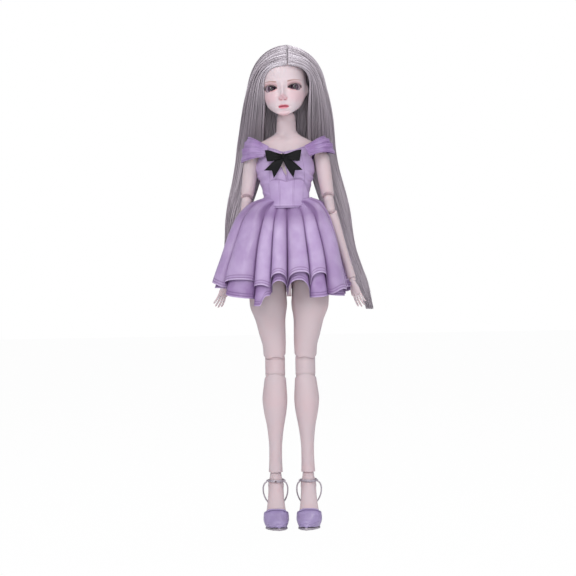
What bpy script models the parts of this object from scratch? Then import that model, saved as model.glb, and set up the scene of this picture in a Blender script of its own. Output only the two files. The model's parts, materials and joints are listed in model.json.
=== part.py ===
"""Ball jointed doll in a satin dress and heeled shoes, standing with its arms at its sides.

Metres, +Z up. The doll faces -Y, +X is its own left, and the origin is on the floor
between the shoes. The body is hollow shells strung on elastic: every joint is a ball or a
rounded end that turns in a bowl, and steel hooks hold the hands, the feet and the head.
"""
import math

import bmesh
import bpy
import numpy as np
from mathutils import Matrix, Vector

# Clearances and walls
SEAM_GAP = 0.0003
# A bowl's radius as a share of its ball's, with room for the facets to turn
BOWL_SHARE = 1.050
SHELL_WALL = 0.0045
CUT_OVERRUN = 0.004

# Facets
LIMB_SIDES = 12
TORSO_SIDES = 20
NECK_SIDES = 16
BALL_SIDES = 14
BALL_STEPS = 8
BORE_SIDES = 6
SHARP_EDGE_DEG = 42.0
CAVITY_SIDES = 14
# How far round from the side a ball's and a rod's first facet edges lie, as shares of a facet
BALL_PHASE_SHARE = 0.37
ROD_PHASE_SHARE = 0.11
OUTLET_PHASE_SHARE = 0.43

# Lengths up the body, and the heights above the floor that add up from them
ANKLE_HEIGHT = 0.062
CALF_LENGTH = 0.128
KNEE_LENGTH = 0.018
THIGH_LENGTH = 0.113
TORSO_LENGTH = 0.219
NECK_BALL_RISE = 0.003
CHIN_RISE = 0.003
HEAD_LENGTH = 0.080
ELBOW_LENGTH = 0.013

# Places up the torso as shares of its length, and up the head as shares of chin to crown
HIP_SHARE = 0.1598
PELVIS_SEAM_SHARE = 0.4247
ABDOMEN_RIM_SHARE = 0.5228
BODICE_LOW_SHARE = 0.5365
CHEST_BEND_SHARE = 0.5434
BOW_HEIGHT_SHARE = 0.7945
SHOULDER_SHARE = 0.8447
HEAD_HOOK_FOOT_SHARE = 0.8584
NECK_CAVITY_SHARE = 0.9132
UPPER_ARM_LENGTH_SHARE = 0.2922
FOREARM_LENGTH_SHARE = 0.4018
HEAD_FLOOR_SHARE = 0.1525
EYE_HEIGHT_SHARE = 0.4563
CAP_CUT_SHARE = 0.7625

KNEE_LOWER_HEIGHT = ANKLE_HEIGHT + CALF_LENGTH
KNEE_UPPER_HEIGHT = KNEE_LOWER_HEIGHT + KNEE_LENGTH
HIP_HEIGHT = KNEE_UPPER_HEIGHT + THIGH_LENGTH
CROTCH_HEIGHT = HIP_HEIGHT - TORSO_LENGTH * HIP_SHARE
PELVIS_SEAM_HEIGHT = CROTCH_HEIGHT + TORSO_LENGTH * PELVIS_SEAM_SHARE
ABDOMEN_RIM_HEIGHT = CROTCH_HEIGHT + TORSO_LENGTH * ABDOMEN_RIM_SHARE
BODICE_LOW = CROTCH_HEIGHT + TORSO_LENGTH * BODICE_LOW_SHARE
CHEST_BEND_HEIGHT = CROTCH_HEIGHT + TORSO_LENGTH * CHEST_BEND_SHARE
BOW_HEIGHT = CROTCH_HEIGHT + TORSO_LENGTH * BOW_HEIGHT_SHARE
SHOULDER_HEIGHT = CROTCH_HEIGHT + TORSO_LENGTH * SHOULDER_SHARE
HEAD_HOOK_FOOT_HEIGHT = CROTCH_HEIGHT + TORSO_LENGTH * HEAD_HOOK_FOOT_SHARE
NECK_CAVITY_HEIGHT = CROTCH_HEIGHT + TORSO_LENGTH * NECK_CAVITY_SHARE
NECK_HEIGHT = CROTCH_HEIGHT + TORSO_LENGTH
NECK_BALL_HEIGHT = NECK_HEIGHT + NECK_BALL_RISE
CHIN_HEIGHT = NECK_BALL_HEIGHT + CHIN_RISE
HEAD_FLOOR_HEIGHT = CHIN_HEIGHT + HEAD_LENGTH * HEAD_FLOOR_SHARE
EYE_HEIGHT = CHIN_HEIGHT + HEAD_LENGTH * EYE_HEIGHT_SHARE
CAP_CUT_HEIGHT = CHIN_HEIGHT + HEAD_LENGTH * CAP_CUT_SHARE
SKULL_TOP_HEIGHT = CHIN_HEIGHT + HEAD_LENGTH
ELBOW_UPPER_HEIGHT = SHOULDER_HEIGHT - TORSO_LENGTH * UPPER_ARM_LENGTH_SHARE
ELBOW_LOWER_HEIGHT = ELBOW_UPPER_HEIGHT - ELBOW_LENGTH
WRIST_HEIGHT = ELBOW_LOWER_HEIGHT - TORSO_LENGTH * FOREARM_LENGTH_SHARE

# Torso: its widest half sizes, and its waist joints
TORSO_HALF_WIDTH = 0.042
TORSO_HALF_DEPTH = 0.030
TORSO_SETBACK = 0.002
WAIST_PLUG_RADIUS = 0.0115
WAIST_PLUG_DEPTH = 0.008
WAIST_BORE_RADIUS = 0.0065
ABDOMEN_DOME_RADIUS = 0.0150
ABDOMEN_DOME_HALF_WIDTH = 0.0225
CROTCH_FIN_HALF = 0.0029

# The width of a ball's slot as a share of its cord hole
SLOT_SHARE = 0.87

# Height, half width, front and back of the torso, as shares of the sizes above
TORSO_SHARES = (
    (0.000, 0.19, 0.23, 0.27),
    (0.027, 0.38, 0.43, 0.60),
    (0.073, 0.76, 0.60, 0.87),
    (0.132, 0.98, 0.70, 1.00),
    (0.201, 1.00, 0.75, 0.98),
    (0.269, 0.90, 0.73, 0.87),
    (0.338, 0.75, 0.67, 0.70),
    (0.393, 0.67, 0.62, 0.62),
    (0.447, 0.635, 0.585, 0.57),
    (0.511, 0.62, 0.585, 0.55),
    (0.580, 0.63, 0.60, 0.55),
    (0.658, 0.71, 0.68, 0.62),
    (0.735, 0.765, 0.82, 0.65),
    (0.781, 0.74, 0.83, 0.67),
    (0.813, 0.77, 0.74, 0.68),
    (0.845, 0.86, 0.61, 0.66),
    (0.872, 0.84, 0.53, 0.62),
    (0.895, 0.64, 0.44, 0.54),
    (0.911, 0.48, 0.385, 0.467),
    (0.932, 0.333, 0.36, 0.417),
    (0.959, 0.29, 0.353, 0.387),
    (1.000, 0.279, 0.353, 0.373),
)

# Hip, knee and ankle
HIP_SPACING = 0.0265
HIP_BALL_RADIUS = 0.0145
HIP_BOWL_DEG = 58.0
HIP_BOWL_REACH = 0.044
HIP_BOWL_AXIS = (-0.25, 0.50, 0.83)
HIP_CORD_SHARE = 0.85
HIP_CORD_BORE = 0.0042
KNEE_SPACING = 0.0189
KNEE_BALL_RADIUS = 0.0118
KNEE_HALF_WIDTH = 0.0124
DOUBLE_JOINT_POLE_DEG = 84.0
DOUBLE_JOINT_STEPS = 5
LEG_BORE_RADIUS = 0.0040
ANKLE_SPACING = 0.0204
ANKLE_SETBACK = 0.007
ANKLE_BALL_RADIUS = 0.0074
THIGH_HALF_WIDTH = 0.0238
THIGH_HALF_DEPTH = 0.0240
CALF_HALF_WIDTH = 0.0156
CALF_HALF_DEPTH = 0.0170

# Limb sections from one joint to the next: way along, half width, half depth, sideways
# shift, backward shift, and the slope of the section from front to back, all as shares
THIGH_SHARES = (
    (0.070, 0.60, 0.60, 0.00, 0.00, 0.0),
    (0.110, 0.85, 0.81, 0.03, 0.00, 0.0),
    (0.200, 0.98, 0.95, 0.08, 0.02, 0.0),
    (0.380, 0.98, 0.99, 0.10, 0.03, 0.0),
    (0.570, 0.78, 0.85, 0.06, 0.00, 0.0),
    (0.720, 0.69, 0.72, 0.02, -0.02, 0.05),
    (0.840, 0.61, 0.64, -0.02, -0.02, 0.25),
    (0.938, 0.58, 0.585, 0.00, 0.00, 0.577),
)
CALF_SHARES = (
    (0.058, 0.86, 0.80, 0.00, 0.00, -0.577),
    (0.130, 0.92, 0.90, 0.02, 0.08, -0.20),
    (0.250, 1.00, 1.00, 0.04, 0.16, 0.0),
    (0.380, 0.90, 0.93, 0.02, 0.15, 0.0),
    (0.510, 0.70, 0.74, 0.00, 0.07, 0.0),
    (0.620, 0.58, 0.60, 0.00, 0.01, 0.0),
    (0.750, 0.51, 0.52, 0.00, -0.02, 0.0),
    (0.860, 0.52, 0.50, 0.00, -0.01, 0.0),
    (0.965, 0.56, 0.53, 0.00, 0.00, 0.0),
)

# Shoulder, elbow and wrist
SHOULDER_SPACING = 0.0415
SHOULDER_BALL_RADIUS = 0.0088
ARM_SETBACK = 0.003
ELBOW_UPPER_SPACING = 0.0512
ELBOW_LOWER_SPACING = 0.0530
ELBOW_BALL_RADIUS = 0.0058
ELBOW_HALF_WIDTH = 0.0062
ARM_BORE_RADIUS = 0.0027
WRIST_SPACING = 0.0790
ARM_SWAY = 0.0130
ELBOW_SWAY_SHARE = 0.25
WRIST_BALL_RADIUS = 0.0042
UPPER_ARM_HALF = 0.0095
FOREARM_HALF = 0.0072
UPPER_ARM_SHARES = (
    (0.085, 0.66, 0.66, 0.00, 0.00, 0.0),
    (0.140, 0.90, 0.92, 0.02, 0.00, 0.0),
    (0.260, 1.00, 1.06, 0.04, 0.00, 0.0),
    (0.450, 0.98, 1.04, 0.02, 0.00, 0.0),
    (0.700, 0.92, 0.92, 0.00, 0.00, 0.0),
    (0.850, 0.85, 0.84, 0.00, 0.00, -0.25),
    (0.935, 0.80, 0.76, 0.00, 0.00, -0.577),
)
FOREARM_SHARES = (
    (0.046, 0.98, 1.00, 0.00, 0.00, 0.577),
    (0.120, 0.98, 1.02, 0.00, 0.00, 0.20),
    (0.250, 0.94, 1.03, 0.02, 0.00, 0.0),
    (0.500, 0.82, 0.90, 0.01, 0.00, 0.0),
    (0.750, 0.72, 0.76, 0.00, 0.00, 0.0),
    (0.900, 0.74, 0.72, 0.00, 0.00, 0.0),
    (0.975, 0.76, 0.72, 0.00, 0.00, 0.0),
)

# Neck and head
NECK_BALL_RADIUS = 0.0114
NECK_BORE_RADIUS = 0.0045
HEAD_TURN_DEG = 7.0
HEAD_TILT_DEG = 2.0
SKULL_HALF_WIDTH = 0.0290
SKULL_HALF_DEPTH = 0.0345
SKULL_SETBACK = 0.0015
SKULL_WALL = 0.0035
HEAD_SIDES = 22
HEAD_SLOT_HALF_WIDTH = 0.0022
HEAD_SLOT_HALF_DEPTH = 0.0060
EYE_RADIUS = 0.0075
EYE_SPACING_SHARE = 0.5103
EYE_SPACING = SKULL_HALF_WIDTH * EYE_SPACING_SHARE
EYE_OPENING_HALF_WIDTH = 0.0072
EYE_OPENING_HALF_HEIGHT = 0.0036
EYE_RECESS = 0.0015
CAP_CUT_SLOPE_DEG = 38.0

# Height, half width, front and back of the head, as shares of chin to crown and the
# skull's half sizes
HEAD_SHARES = (
    (0.000, 0.16, 0.80, -0.62),
    (0.030, 0.34, 0.86, -0.40),
    (0.075, 0.52, 0.89, -0.02),
    (0.140, 0.70, 0.90, 0.42),
    (0.220, 0.81, 0.89, 0.66),
    (0.320, 0.90, 0.88, 0.80),
    (0.430, 0.96, 0.88, 0.92),
    (0.540, 0.99, 0.91, 0.99),
    (0.650, 1.00, 0.94, 1.02),
    (0.760, 0.95, 0.90, 0.98),
    (0.860, 0.82, 0.77, 0.84),
    (0.935, 0.60, 0.56, 0.62),
    (0.980, 0.34, 0.31, 0.36),
    (1.000, 0.10, 0.09, 0.10),
)

# Hooks and elastic
HOOK_SHANK = 0.0120
HOOK_STEPS = 7
HOOK_LOWER_DEG = (300.0, 25.0)
HOOK_UPPER_DEG = (200.0, 480.0)
BAR_REACH_SHARE = 0.93
WRIST_WIRE = 0.0006
WRIST_CURL = 0.0019
WRIST_SLOT_HALF = 0.0010
WRIST_BAR_RADIUS = 0.0008
ANKLE_WIRE = 0.0009
ANKLE_CURL = 0.0026
ANKLE_SLOT_HALF = 0.0014
ANKLE_BAR_RADIUS = 0.0013
HEAD_HOOK_CURL = 0.0032
HEAD_HOOK_WIRE = 0.0011
ARM_ELASTIC = 0.0010
ARM_ELASTIC_SETBACK = 0.0100
LEG_ELASTIC = 0.0014

# Hands: a section of the palm is its way along, half width and half depth; a finger bone
# is its length, its bend and its thickness
HAND_SIDES = 10
HAND_TURN_DEG = 35.0
PALM_LENGTH = 0.0195
PALM_HALF_WIDTH = 0.0062
PALM_HALF_DEPTH = 0.0034
FINGER_LENGTH = 0.0185
FINGER_RADIUS = 0.0015
FINGER_SIDES = 5
FINGER_SPREAD_SHARE = 0.16
THUMB_LENGTH = 0.0150
THUMB_OUT = 0.0036
THUMB_BASE_SHARE = 0.32
THUMB_SPREAD_SHARE = 0.42
PALM_SHARES = (
    (0.120, 0.50, 0.85),
    (0.300, 0.66, 1.00),
    (0.550, 0.88, 1.00),
    (0.800, 1.00, 0.82),
    (1.000, 0.96, 0.60),
)
FINGER_SHARES = (
    (0.42, 0.10, 1.00),
    (0.30, 0.22, 0.95),
    (0.26, 0.22, 0.85),
    (0.02, 0.00, 0.45),
)
FINGER_PLACE_SHARES = ((0.74, 0.92), (0.26, 1.00), (-0.24, 0.95), (-0.72, 0.78))

# Feet: way from heel to toe, half width, underside and top
FOOT_LENGTH = 0.070
FOOT_HALF_WIDTH = 0.0135
INSTEP_HEIGHT = 0.056
HEEL_SETBACK = 0.021
ANKLE_ROOT_SHARE = 0.80
ANKLE_COLUMN_RADIUS = 0.0092
FOOT_SHARES = (
    (0.00, 0.25, 0.76, 0.90),
    (0.07, 0.58, 0.70, 1.00),
    (0.17, 0.70, 0.60, 1.00),
    (0.30, 0.72, 0.47, 0.98),
    (0.42, 0.76, 0.34, 0.82),
    (0.54, 0.86, 0.19, 0.61),
    (0.66, 0.98, 0.075, 0.43),
    (0.78, 1.00, 0.052, 0.31),
    (0.89, 0.80, 0.052, 0.23),
    (0.97, 0.48, 0.052, 0.17),
    (1.00, 0.22, 0.060, 0.13),
)
ANKLE_COLUMN_SHARES = ((0.0, 0.0), (0.92, 0.0), (1.0, 0.40), (0.98, 0.66), (0.72, 0.82), (0.0, 0.82))

# Shoes: way along the foot past its toes and half width of the sole; the same and the
# rise of the vamp; the heel post's height and radius; and the side strap's bulge
SOLE_THICKNESS = 0.0028
SOLE_HALF_WIDTH = 0.0150
SOLE_COLUMNS = 3
HEEL_POST_SHARE = 0.09
HEEL_SEAT_RADIUS = 0.0062
TOE_LEAN = 0.012
TOE_LEAN_SHARE = 0.75
VAMP_EASE = 0.0008
VAMP_THICKNESS = 0.0008
VAMP_COLUMNS = 11
VAMP_WRAP_DEG = 40.0
STRAP_HEIGHT = 0.0555
STRAP_HALF_WIDTH = 0.0013
STRAP_THICKNESS = 0.0007
STRAP_RADIUS = 0.0116
LOOP_FOOT_SHARE = 0.24
LOOP_FLOOR_SHARE = 1.0
LOOP_POINTS = 5
SOLE_SHARES = (
    (-0.02, 0.26),
    (0.04, 0.52),
    (0.17, 0.60),
    (0.30, 0.58),
    (0.42, 0.62),
    (0.54, 0.76),
    (0.66, 0.94),
    (0.78, 1.00),
    (0.89, 0.86),
    (0.98, 0.58),
    (1.05, 0.26),
    (1.07, 0.08),
)
VAMP_SHARES = (
    (0.64, 0.97, 1.01),
    (0.70, 1.01, 1.01),
    (0.78, 1.01, 1.01),
    (0.89, 0.83, 1.04),
    (0.97, 0.56, 1.06),
    (1.02, 0.36, 1.08),
    (1.06, 0.12, 0.60),
)
HEEL_POST_SHARES = ((0.0, 0.55), (0.10, 0.52), (0.40, 0.60), (0.75, 0.84), (1.0, 1.0))
LOOP_SHARES = (
    (-0.98, 1.00), (-1.12, 0.80), (-1.14, 0.50), (-1.00, 0.20), (-0.86, 0.02),
    (0.86, 0.02), (1.00, 0.20), (1.14, 0.50), (1.12, 0.80), (0.98, 1.00),
)

# Relief of the face: rise, place across, width, height and spread, as shares of the nose's
# rise, the skull's half width and the way from chin to crown
NOSE_RISE = 0.0062
FACE_CROWDING_SHARE = -0.45
FACE_ROWS = 11
FACE_TOP_SHARE = 0.64
FACE_RELIEF_SHARES = (
    (1.00, 0.0, 0.13, 0.285, 0.045),
    (0.55, 0.0, 0.11, 0.370, 0.070),
    (0.42, 0.0, 0.22, 0.165, 0.026),
    (0.30, 0.0, 0.30, 0.050, 0.045),
    (0.22, 0.55, 0.30, 0.300, 0.080),
    (0.20, 0.45, 0.35, 0.560, 0.040),
    (-0.55, 0.50, 0.26, 0.455, 0.050),
)

# Wig: its cap, and half of the outline of the opening that the hair leaves for the face
WIG_CAP_EASE = 0.0009
WIG_CAP_THICKNESS = 0.0007
WIG_CAP_DROP = 0.012
FACE_OPENING_BACK = -0.004
FACE_OPENING_SHARES = (
    (1.1379, -0.1375),
    (1.0862, 0.2375),
    (1.0690, 0.4625),
    (0.9310, 0.6625),
    (0.6552, 0.8125),
    (0.3103, 0.9125),
    (0.0690, 0.9500),
)
HAIR_CROWN_SIDES = 16
HAIR_FALL_SIDES = 10

# Crown of the hair: height, left and right edge, front and back, all as shares of the
# head's length up from the chin and of the skull's half width and half depth
HAIR_CROWN_SHARES = (
    (0.2375, -1.724, 1.724, -0.290, 1.391),
    (0.4250, -1.621, 1.690, -0.580, 1.362),
    (0.6125, -1.483, 1.621, -0.870, 1.333),
    (0.7875, -1.345, 1.483, -0.986, 1.275),
    (0.9375, -1.103, 1.207, -0.841, 1.101),
    (1.0563, -0.724, 0.828, -0.522, 0.783),
    (1.1313, -0.276, 0.310, -0.174, 0.348),
)

# Falls of hair, as shares of the same sizes
HAIR_FALL_SHARES = {
    "hair_left": (
        (0.5125, 1.276, 1.517, -0.058, 0.348),
        (0.2375, 1.138, 1.828, -0.116, 0.638),
        (-0.0750, 1.069, 2.034, 0.174, 0.870),
        (-0.3875, 0.966, 2.034, 0.696, 1.101),
        (-0.6750, 0.966, 2.103, 0.725, 1.101),
        (-1.1500, 1.241, 2.414, 0.725, 1.101),
        (-1.5125, 1.655, 2.690, 0.812, 1.159),
        (-1.8875, 2.138, 2.759, 1.101, 1.391),
        (-2.2625, 2.655, 3.207, 1.159, 1.449),
        (-2.6375, 3.000, 3.483, 1.217, 1.507),
        (-3.0375, 3.345, 3.552, 1.304, 1.449),
    ),
    "hair_right": (
        (0.5125, -1.552, -1.310, -0.058, 0.348),
        (0.2375, -1.828, -1.172, -0.116, 0.638),
        (-0.0750, -1.983, -1.103, 0.174, 0.870),
        (-0.3875, -2.069, -0.966, 0.696, 1.101),
        (-0.6750, -2.121, -0.966, 0.754, 1.159),
        (-1.1500, -2.448, -1.310, 0.783, 1.217),
        (-1.5125, -2.690, -1.793, 0.986, 1.333),
        (-2.0125, -2.793, -2.414, 1.275, 1.507),
    ),
    "hair_back": (
        (0.5125, -0.897, 0.897, 1.043, 1.304),
        (0.1125, -1.103, 1.103, 0.870, 1.507),
        (-0.2625, -1.000, 1.000, 0.870, 1.449),
        (-0.7625, -1.069, 1.069, 0.812, 1.391),
        (-1.1375, -1.138, 1.138, 0.928, 1.449),
        (-1.4250, -1.103, 1.103, 1.217, 1.623),
    ),
}

# Dress, with heights as shares of the torso's length: edges of the bodice by how far round
# to the front they lie; rows of the sleeves as height and shares of the shoulder ball's
# radius; rows of the skirts as height, shares of the torso's half sizes and of a full pleat;
# and dents round the arms as shares of a full pleat
BODICE_EASE = 0.0015
BODICE_ROWS = 7
CLOTH_THICKNESS = 0.0010
NECKLINE_SHARES = (
    (-1.0, 0.7945), (-0.4, 0.7808), (0.0, 0.7489), (0.35, 0.7763),
    (0.6, 0.8311), (0.93, 0.8242), (1.0, 0.7945),
)
SLEEVE_OUTSET = 0.0005
SLEEVE_WRAP_DEG = 126.0
SLEEVE_COLUMNS = 13
SLEEVE_SHARES = (
    (0.7740, 1.534, 1.705, 0.227),
    (0.8082, 1.705, 1.875, 0.227),
    (0.8584, 1.477, 1.761, 0.000),
    (0.8845, 0.750, 1.193, -0.455),
)
SKIRT_COLUMNS = 40
PLEAT_COUNT = 10
PLEAT_PHASE_DEG = 260.0
PLEAT_DEPTH = 0.0055
ARM_DENT_DEG = (-8.0, 172.0, 22.0, 202.0)
ARM_DENT_SHARES = (-4.73, -4.73, 1.45, 2.70)
ARM_DENT_SPREAD_DEG = 15.0
RUFFLE_DENT_SHARE = 0.75
SKIRT_SHARES = (
    (0.5352, 0.6762, 0.6700, 0.00),
    (0.5023, 0.9524, 1.0000, 0.22),
    (0.4521, 1.2857, 1.4000, 0.45),
    (0.3607, 1.6190, 1.7333, 0.69),
    (0.2237, 1.9048, 2.0333, 0.87),
    (0.1005, 2.1429, 2.2667, 1.00),
)
RUFFLE_SHARES = (
    (0.5205, 0.6881, 0.7500, 0.00),
    (0.4384, 1.0238, 1.1000, 0.22),
    (0.3379, 1.3333, 1.4333, 0.45),
    (0.1781, 1.6190, 1.7333, 0.76),
    (0.0320, 1.8571, 2.0000, 1.00),
)
BOW_HALF_WIDTH = 0.0230
BOW_HALF_HEIGHT = 0.0070
BOW_DEPTH = 0.0045
BOW_SIDES = 10
BOW_TAIL_LENGTH = 0.0230
BOW_TAIL_WIDTH = 0.0055
BOW_TAIL_SPREAD = 0.0150
BOW_TAIL_THICKNESS = 0.0006
BOW_TAIL_TAPER_SHARE = 0.4
BOW_SHARES = (
    (-1.00, 0.85, 0.15),
    (-0.80, 1.00, 0.60),
    (-0.45, 0.75, 0.80),
    (-0.16, 0.42, 0.55),
    (-0.12, 0.60, 0.95),
    (0.12, 0.60, 0.95),
    (0.16, 0.42, 0.55),
    (0.45, 0.75, 0.80),
    (0.80, 1.00, 0.60),
    (1.00, 0.85, 0.15),
)

# Elastic route
HEAD_HOOK_LOWER_DEG = (300.0, 25.0)
HEAD_HOOK_UPPER_DEG = (0.0, 180.0)
LEG_LOOP_RADIUS = 0.0042
LEG_LOOP_DEG = (0.0, 40.0, 90.0, 140.0, 180.0)
CORNER_SHARE = 0.04

# The chain of bodies down each limb and the joint that moves each of them
ARM_CHAIN = ("shoulder_ball", "upper_arm", "elbow", "forearm", "wrist_hook", "hand")
ARM_JOINTS = ("arm_swing", "arm_raise", "elbow_upper", "elbow_lower", "wrist_turn", "wrist_bend")
LEG_CHAIN = ("hip_ball", "thigh", "knee", "calf", "ankle_hook", "foot")
LEG_JOINTS = ("leg_swing", "leg_spread", "knee_upper", "knee_lower", "foot_turn", "foot_bend")

SIDES = {"left": 1.0, "right": -1.0}


def clear_scene():
    """Take every object out of the scene."""
    for item in list(bpy.data.objects):
        bpy.data.objects.remove(item, do_unlink=True)


def material(name, colour, roughness, metallic=0.0):
    """A Principled material of one colour."""
    finish = bpy.data.materials.new(name)
    finish.use_nodes = True
    shader = finish.node_tree.nodes["Principled BSDF"]
    shader.inputs["Base Color"].default_value = (*colour, 1.0)
    shader.inputs["Roughness"].default_value = roughness
    shader.inputs["Metallic"].default_value = metallic
    finish.diffuse_color = (*colour, 1.0)
    return finish


def place(item, body=None):
    """Put an object in the scene, carried by its body's empty without moving it."""
    bpy.context.scene.collection.objects.link(item)
    if body is not None:
        item.parent = body
        item.matrix_parent_inverse = body.matrix_world.inverted()
    return item


def joint_empty(name, point, parent=None):
    """An empty on a joint's axis, which carries the pieces of the body that it moves."""
    empty = bpy.data.objects.new(name, None)
    empty.empty_display_size = HIP_BALL_RADIUS
    place(empty)
    empty.location = point
    bpy.context.view_layer.update()
    if parent is not None:
        empty.parent = parent
        empty.matrix_parent_inverse = parent.matrix_world.inverted()
        bpy.context.view_layer.update()
    return empty


def solid(name, points, faces, finish, body=None):
    """A closed mesh object with its faces turned outwards."""
    mesh = bpy.data.meshes.new(name)
    mesh.from_pydata([tuple(p) for p in points], [], faces)
    shape = bmesh.new()
    shape.from_mesh(mesh)
    bmesh.ops.recalc_face_normals(shape, faces=shape.faces)
    shape.to_mesh(mesh)
    shape.free()
    mesh.shade_smooth()
    mesh.set_sharp_from_angle(angle=math.radians(SHARP_EDGE_DEG))
    if finish is not None:
        mesh.materials.append(finish)
    return place(bpy.data.objects.new(name, mesh), body)


def stack(name, rings, finish=None, body=None):
    """Skin a row of rings that have equal counts of points, and close both ends."""
    sides = len(rings[0])
    points = [p for ring in rings for p in ring]
    faces = []
    for row in range(len(rings) - 1):
        for side in range(sides):
            here = row * sides + side
            beside = row * sides + (side + 1) % sides
            faces.append((here, beside, beside + sides, here + sides))
    faces.append(tuple(reversed(range(sides))))
    faces.append(tuple(range(len(points) - sides, len(points))))
    return solid(name, points, faces, finish, body)


def sheet(name, outer, inner, closed, finish=None, body=None):
    """Close two matching grids of points into one thin sheet. A closed sheet joins its
    last column to its first, as a sleeve does."""
    rows = len(outer)
    columns = len(outer[0])
    points = [p for row in outer for p in row] + [p for row in inner for p in row]
    back = rows * columns
    faces = []
    steps = columns if closed else columns - 1
    for row in range(rows - 1):
        for step in range(steps):
            a = row * columns + step
            b = row * columns + (step + 1) % columns
            faces.append((a, b, b + columns, a + columns))
            faces.append((back + a, back + a + columns, back + b + columns, back + b))
    for step in range(steps):
        a = step
        b = (step + 1) % columns
        top = (rows - 1) * columns
        faces.append((a, back + a, back + b, b))
        faces.append((top + a, top + b, back + top + b, back + top + a))
    if not closed:
        for row in range(rows - 1):
            a = row * columns
            b = a + columns
            faces.append((a, b, back + b, back + a))
            a += columns - 1
            b += columns - 1
            faces.append((a, back + a, back + b, b))
    return solid(name, points, faces, finish, body)


def frame_along(direction):
    """A side and a forward direction square to a limb's own direction."""
    along = Vector(direction).normalized()
    side = Vector((0.0, 1.0, 0.0)).cross(along)
    if side.length < SEAM_GAP:
        side = Vector((1.0, 0.0, 0.0))
    side.normalize()
    return along, side, along.cross(side)


def turned(name, profile, start, direction, finish=None, body=None, sides=BALL_SIDES,
           phase=BALL_PHASE_SHARE):
    """Turn a profile of (radius, distance) pairs about the line from start. The first and
    last pairs lie on the line."""
    along, side, forward = frame_along(direction)
    start = Vector(start)
    points = [start + along * profile[0][1]]
    for radius, distance in profile[1:-1]:
        for step in range(sides):
            angle = math.tau * (step + phase) / sides
            offset = side * math.cos(angle) + forward * math.sin(angle)
            points.append(start + along * distance + offset * radius)
    points.append(start + along * profile[-1][1])
    last = len(points) - 1
    faces = []
    for step in range(sides):
        beside = (step + 1) % sides
        faces.append((0, 1 + step, 1 + beside))
        for row in range(len(profile) - 3):
            base = 1 + row * sides
            faces.append((base + step, base + sides + step, base + sides + beside, base + beside))
        base = last - sides
        faces.append((base + step, last, base + beside))
    return solid(name, points, faces, finish, body)


def arc_profile(radius, first_deg, last_deg, steps, centre=0.0, squash=1.0):
    """Points of a circle about a place on the line, from the far pole at -90 degrees."""
    angles = np.radians(np.linspace(first_deg, last_deg, steps + 1))
    return [(radius * math.cos(a) * squash, centre + radius * math.sin(a)) for a in angles]


def ball(name, centre, radius, finish=None, body=None, sides=BALL_SIDES, steps=BALL_STEPS,
         axis=(0.0, 0.0, 1.0), stretch=1.0):
    """A ball, or one stretched along its axis."""
    profile = [(r, h * stretch) for r, h in arc_profile(radius, -90.0, 90.0, steps)]
    return turned(name, profile, centre, axis, finish, body, sides)


def rod(name, start, end, radius, finish=None, body=None, sides=BORE_SIDES, phase=ROD_PHASE_SHARE):
    """A straight round rod between two points."""
    span = Vector(end) - Vector(start)
    profile = [(0.0, 0.0), (radius, 0.0), (radius, span.length), (0.0, span.length)]
    return turned(name, profile, start, span, finish, body, sides, phase)


def block(name, low, high):
    """A plain box between two corners."""
    points = [(x, y, z) for z in (low[2], high[2]) for x, y in (
        (low[0], low[1]), (high[0], low[1]), (high[0], high[1]), (low[0], high[1]))]
    faces = [(0, 3, 2, 1), (4, 5, 6, 7), (0, 1, 5, 4), (1, 2, 6, 5), (2, 3, 7, 6), (3, 0, 4, 7)]
    return solid(name, points, faces, None)


def wire(name, points, radius, finish=None, body=None, detail=1):
    """A round wire or cord along the points, with filled ends."""
    curve = bpy.data.curves.new(name, "CURVE")
    curve.dimensions = "3D"
    curve.bevel_depth = radius
    curve.bevel_resolution = detail
    curve.use_fill_caps = True
    spline = curve.splines.new("POLY")
    spline.points.add(len(points) - 1)
    for knot, point in zip(spline.points, points):
        knot.co = (*point, 1.0)
    if finish is not None:
        curve.materials.append(finish)
    return place(bpy.data.objects.new(name, curve), body)


def combine(target, tool, operation):
    """Give the target a Boolean with the tool, which stays as a hidden guide."""
    tool.hide_render = True
    tool.display_type = "WIRE"
    step = target.modifiers.new(tool.name, "BOOLEAN")
    step.operation = operation
    step.solver = "EXACT"
    step.object = tool
    return target


def cut(target, *tools):
    """Cut each tool out of the target."""
    for tool in tools:
        combine(target, tool, "DIFFERENCE")
    return target


def fuse(target, *tools):
    """Join each tool to the target."""
    for tool in tools:
        combine(target, tool, "UNION")
    return target


# Torso

def torso_height(share):
    """The height above the floor of a share of the torso's length."""
    return CROTCH_HEIGHT + TORSO_LENGTH * share


def head_height(share):
    """The height above the floor of a share of the way from chin to crown."""
    return CHIN_HEIGHT + HEAD_LENGTH * share


def torso_ring(height, grow=0.0, sides=TORSO_SIDES):
    """The torso's outline at one height, grown outwards or shrunk by a wall."""
    shares = np.array(TORSO_SHARES)
    share = (height - CROTCH_HEIGHT) / TORSO_LENGTH
    width, front, back = (np.interp(share, shares[:, 0], shares[:, k]) for k in (1, 2, 3))
    ring = []
    for step in range(sides):
        angle = math.tau * step / sides
        depth = (back if math.sin(angle) > 0.0 else front) * TORSO_HALF_DEPTH + grow
        ring.append(Vector((
            (width * TORSO_HALF_WIDTH + grow) * math.cos(angle),
            TORSO_SETBACK + depth * math.sin(angle),
            height,
        )))
    return ring


def torso_heights(low, high):
    """The heights of the torso's own sections between two heights, with both ends."""
    inner = [torso_height(row[0]) for row in TORSO_SHARES]
    return [low] + [z for z in inner if low + SHELL_WALL / 2 < z < high - SHELL_WALL / 2] + [high]


def torso_stack(name, low, high, grow=0.0, finish=None, body=None, sides=TORSO_SIDES):
    """A solid length of the torso."""
    rings = [torso_ring(z, grow, sides) for z in torso_heights(low, high)]
    return stack(name, rings, finish, body)


def bowl(radius):
    """The radius of the bowl that a ball of this radius turns in."""
    return radius * BOWL_SHARE


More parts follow.
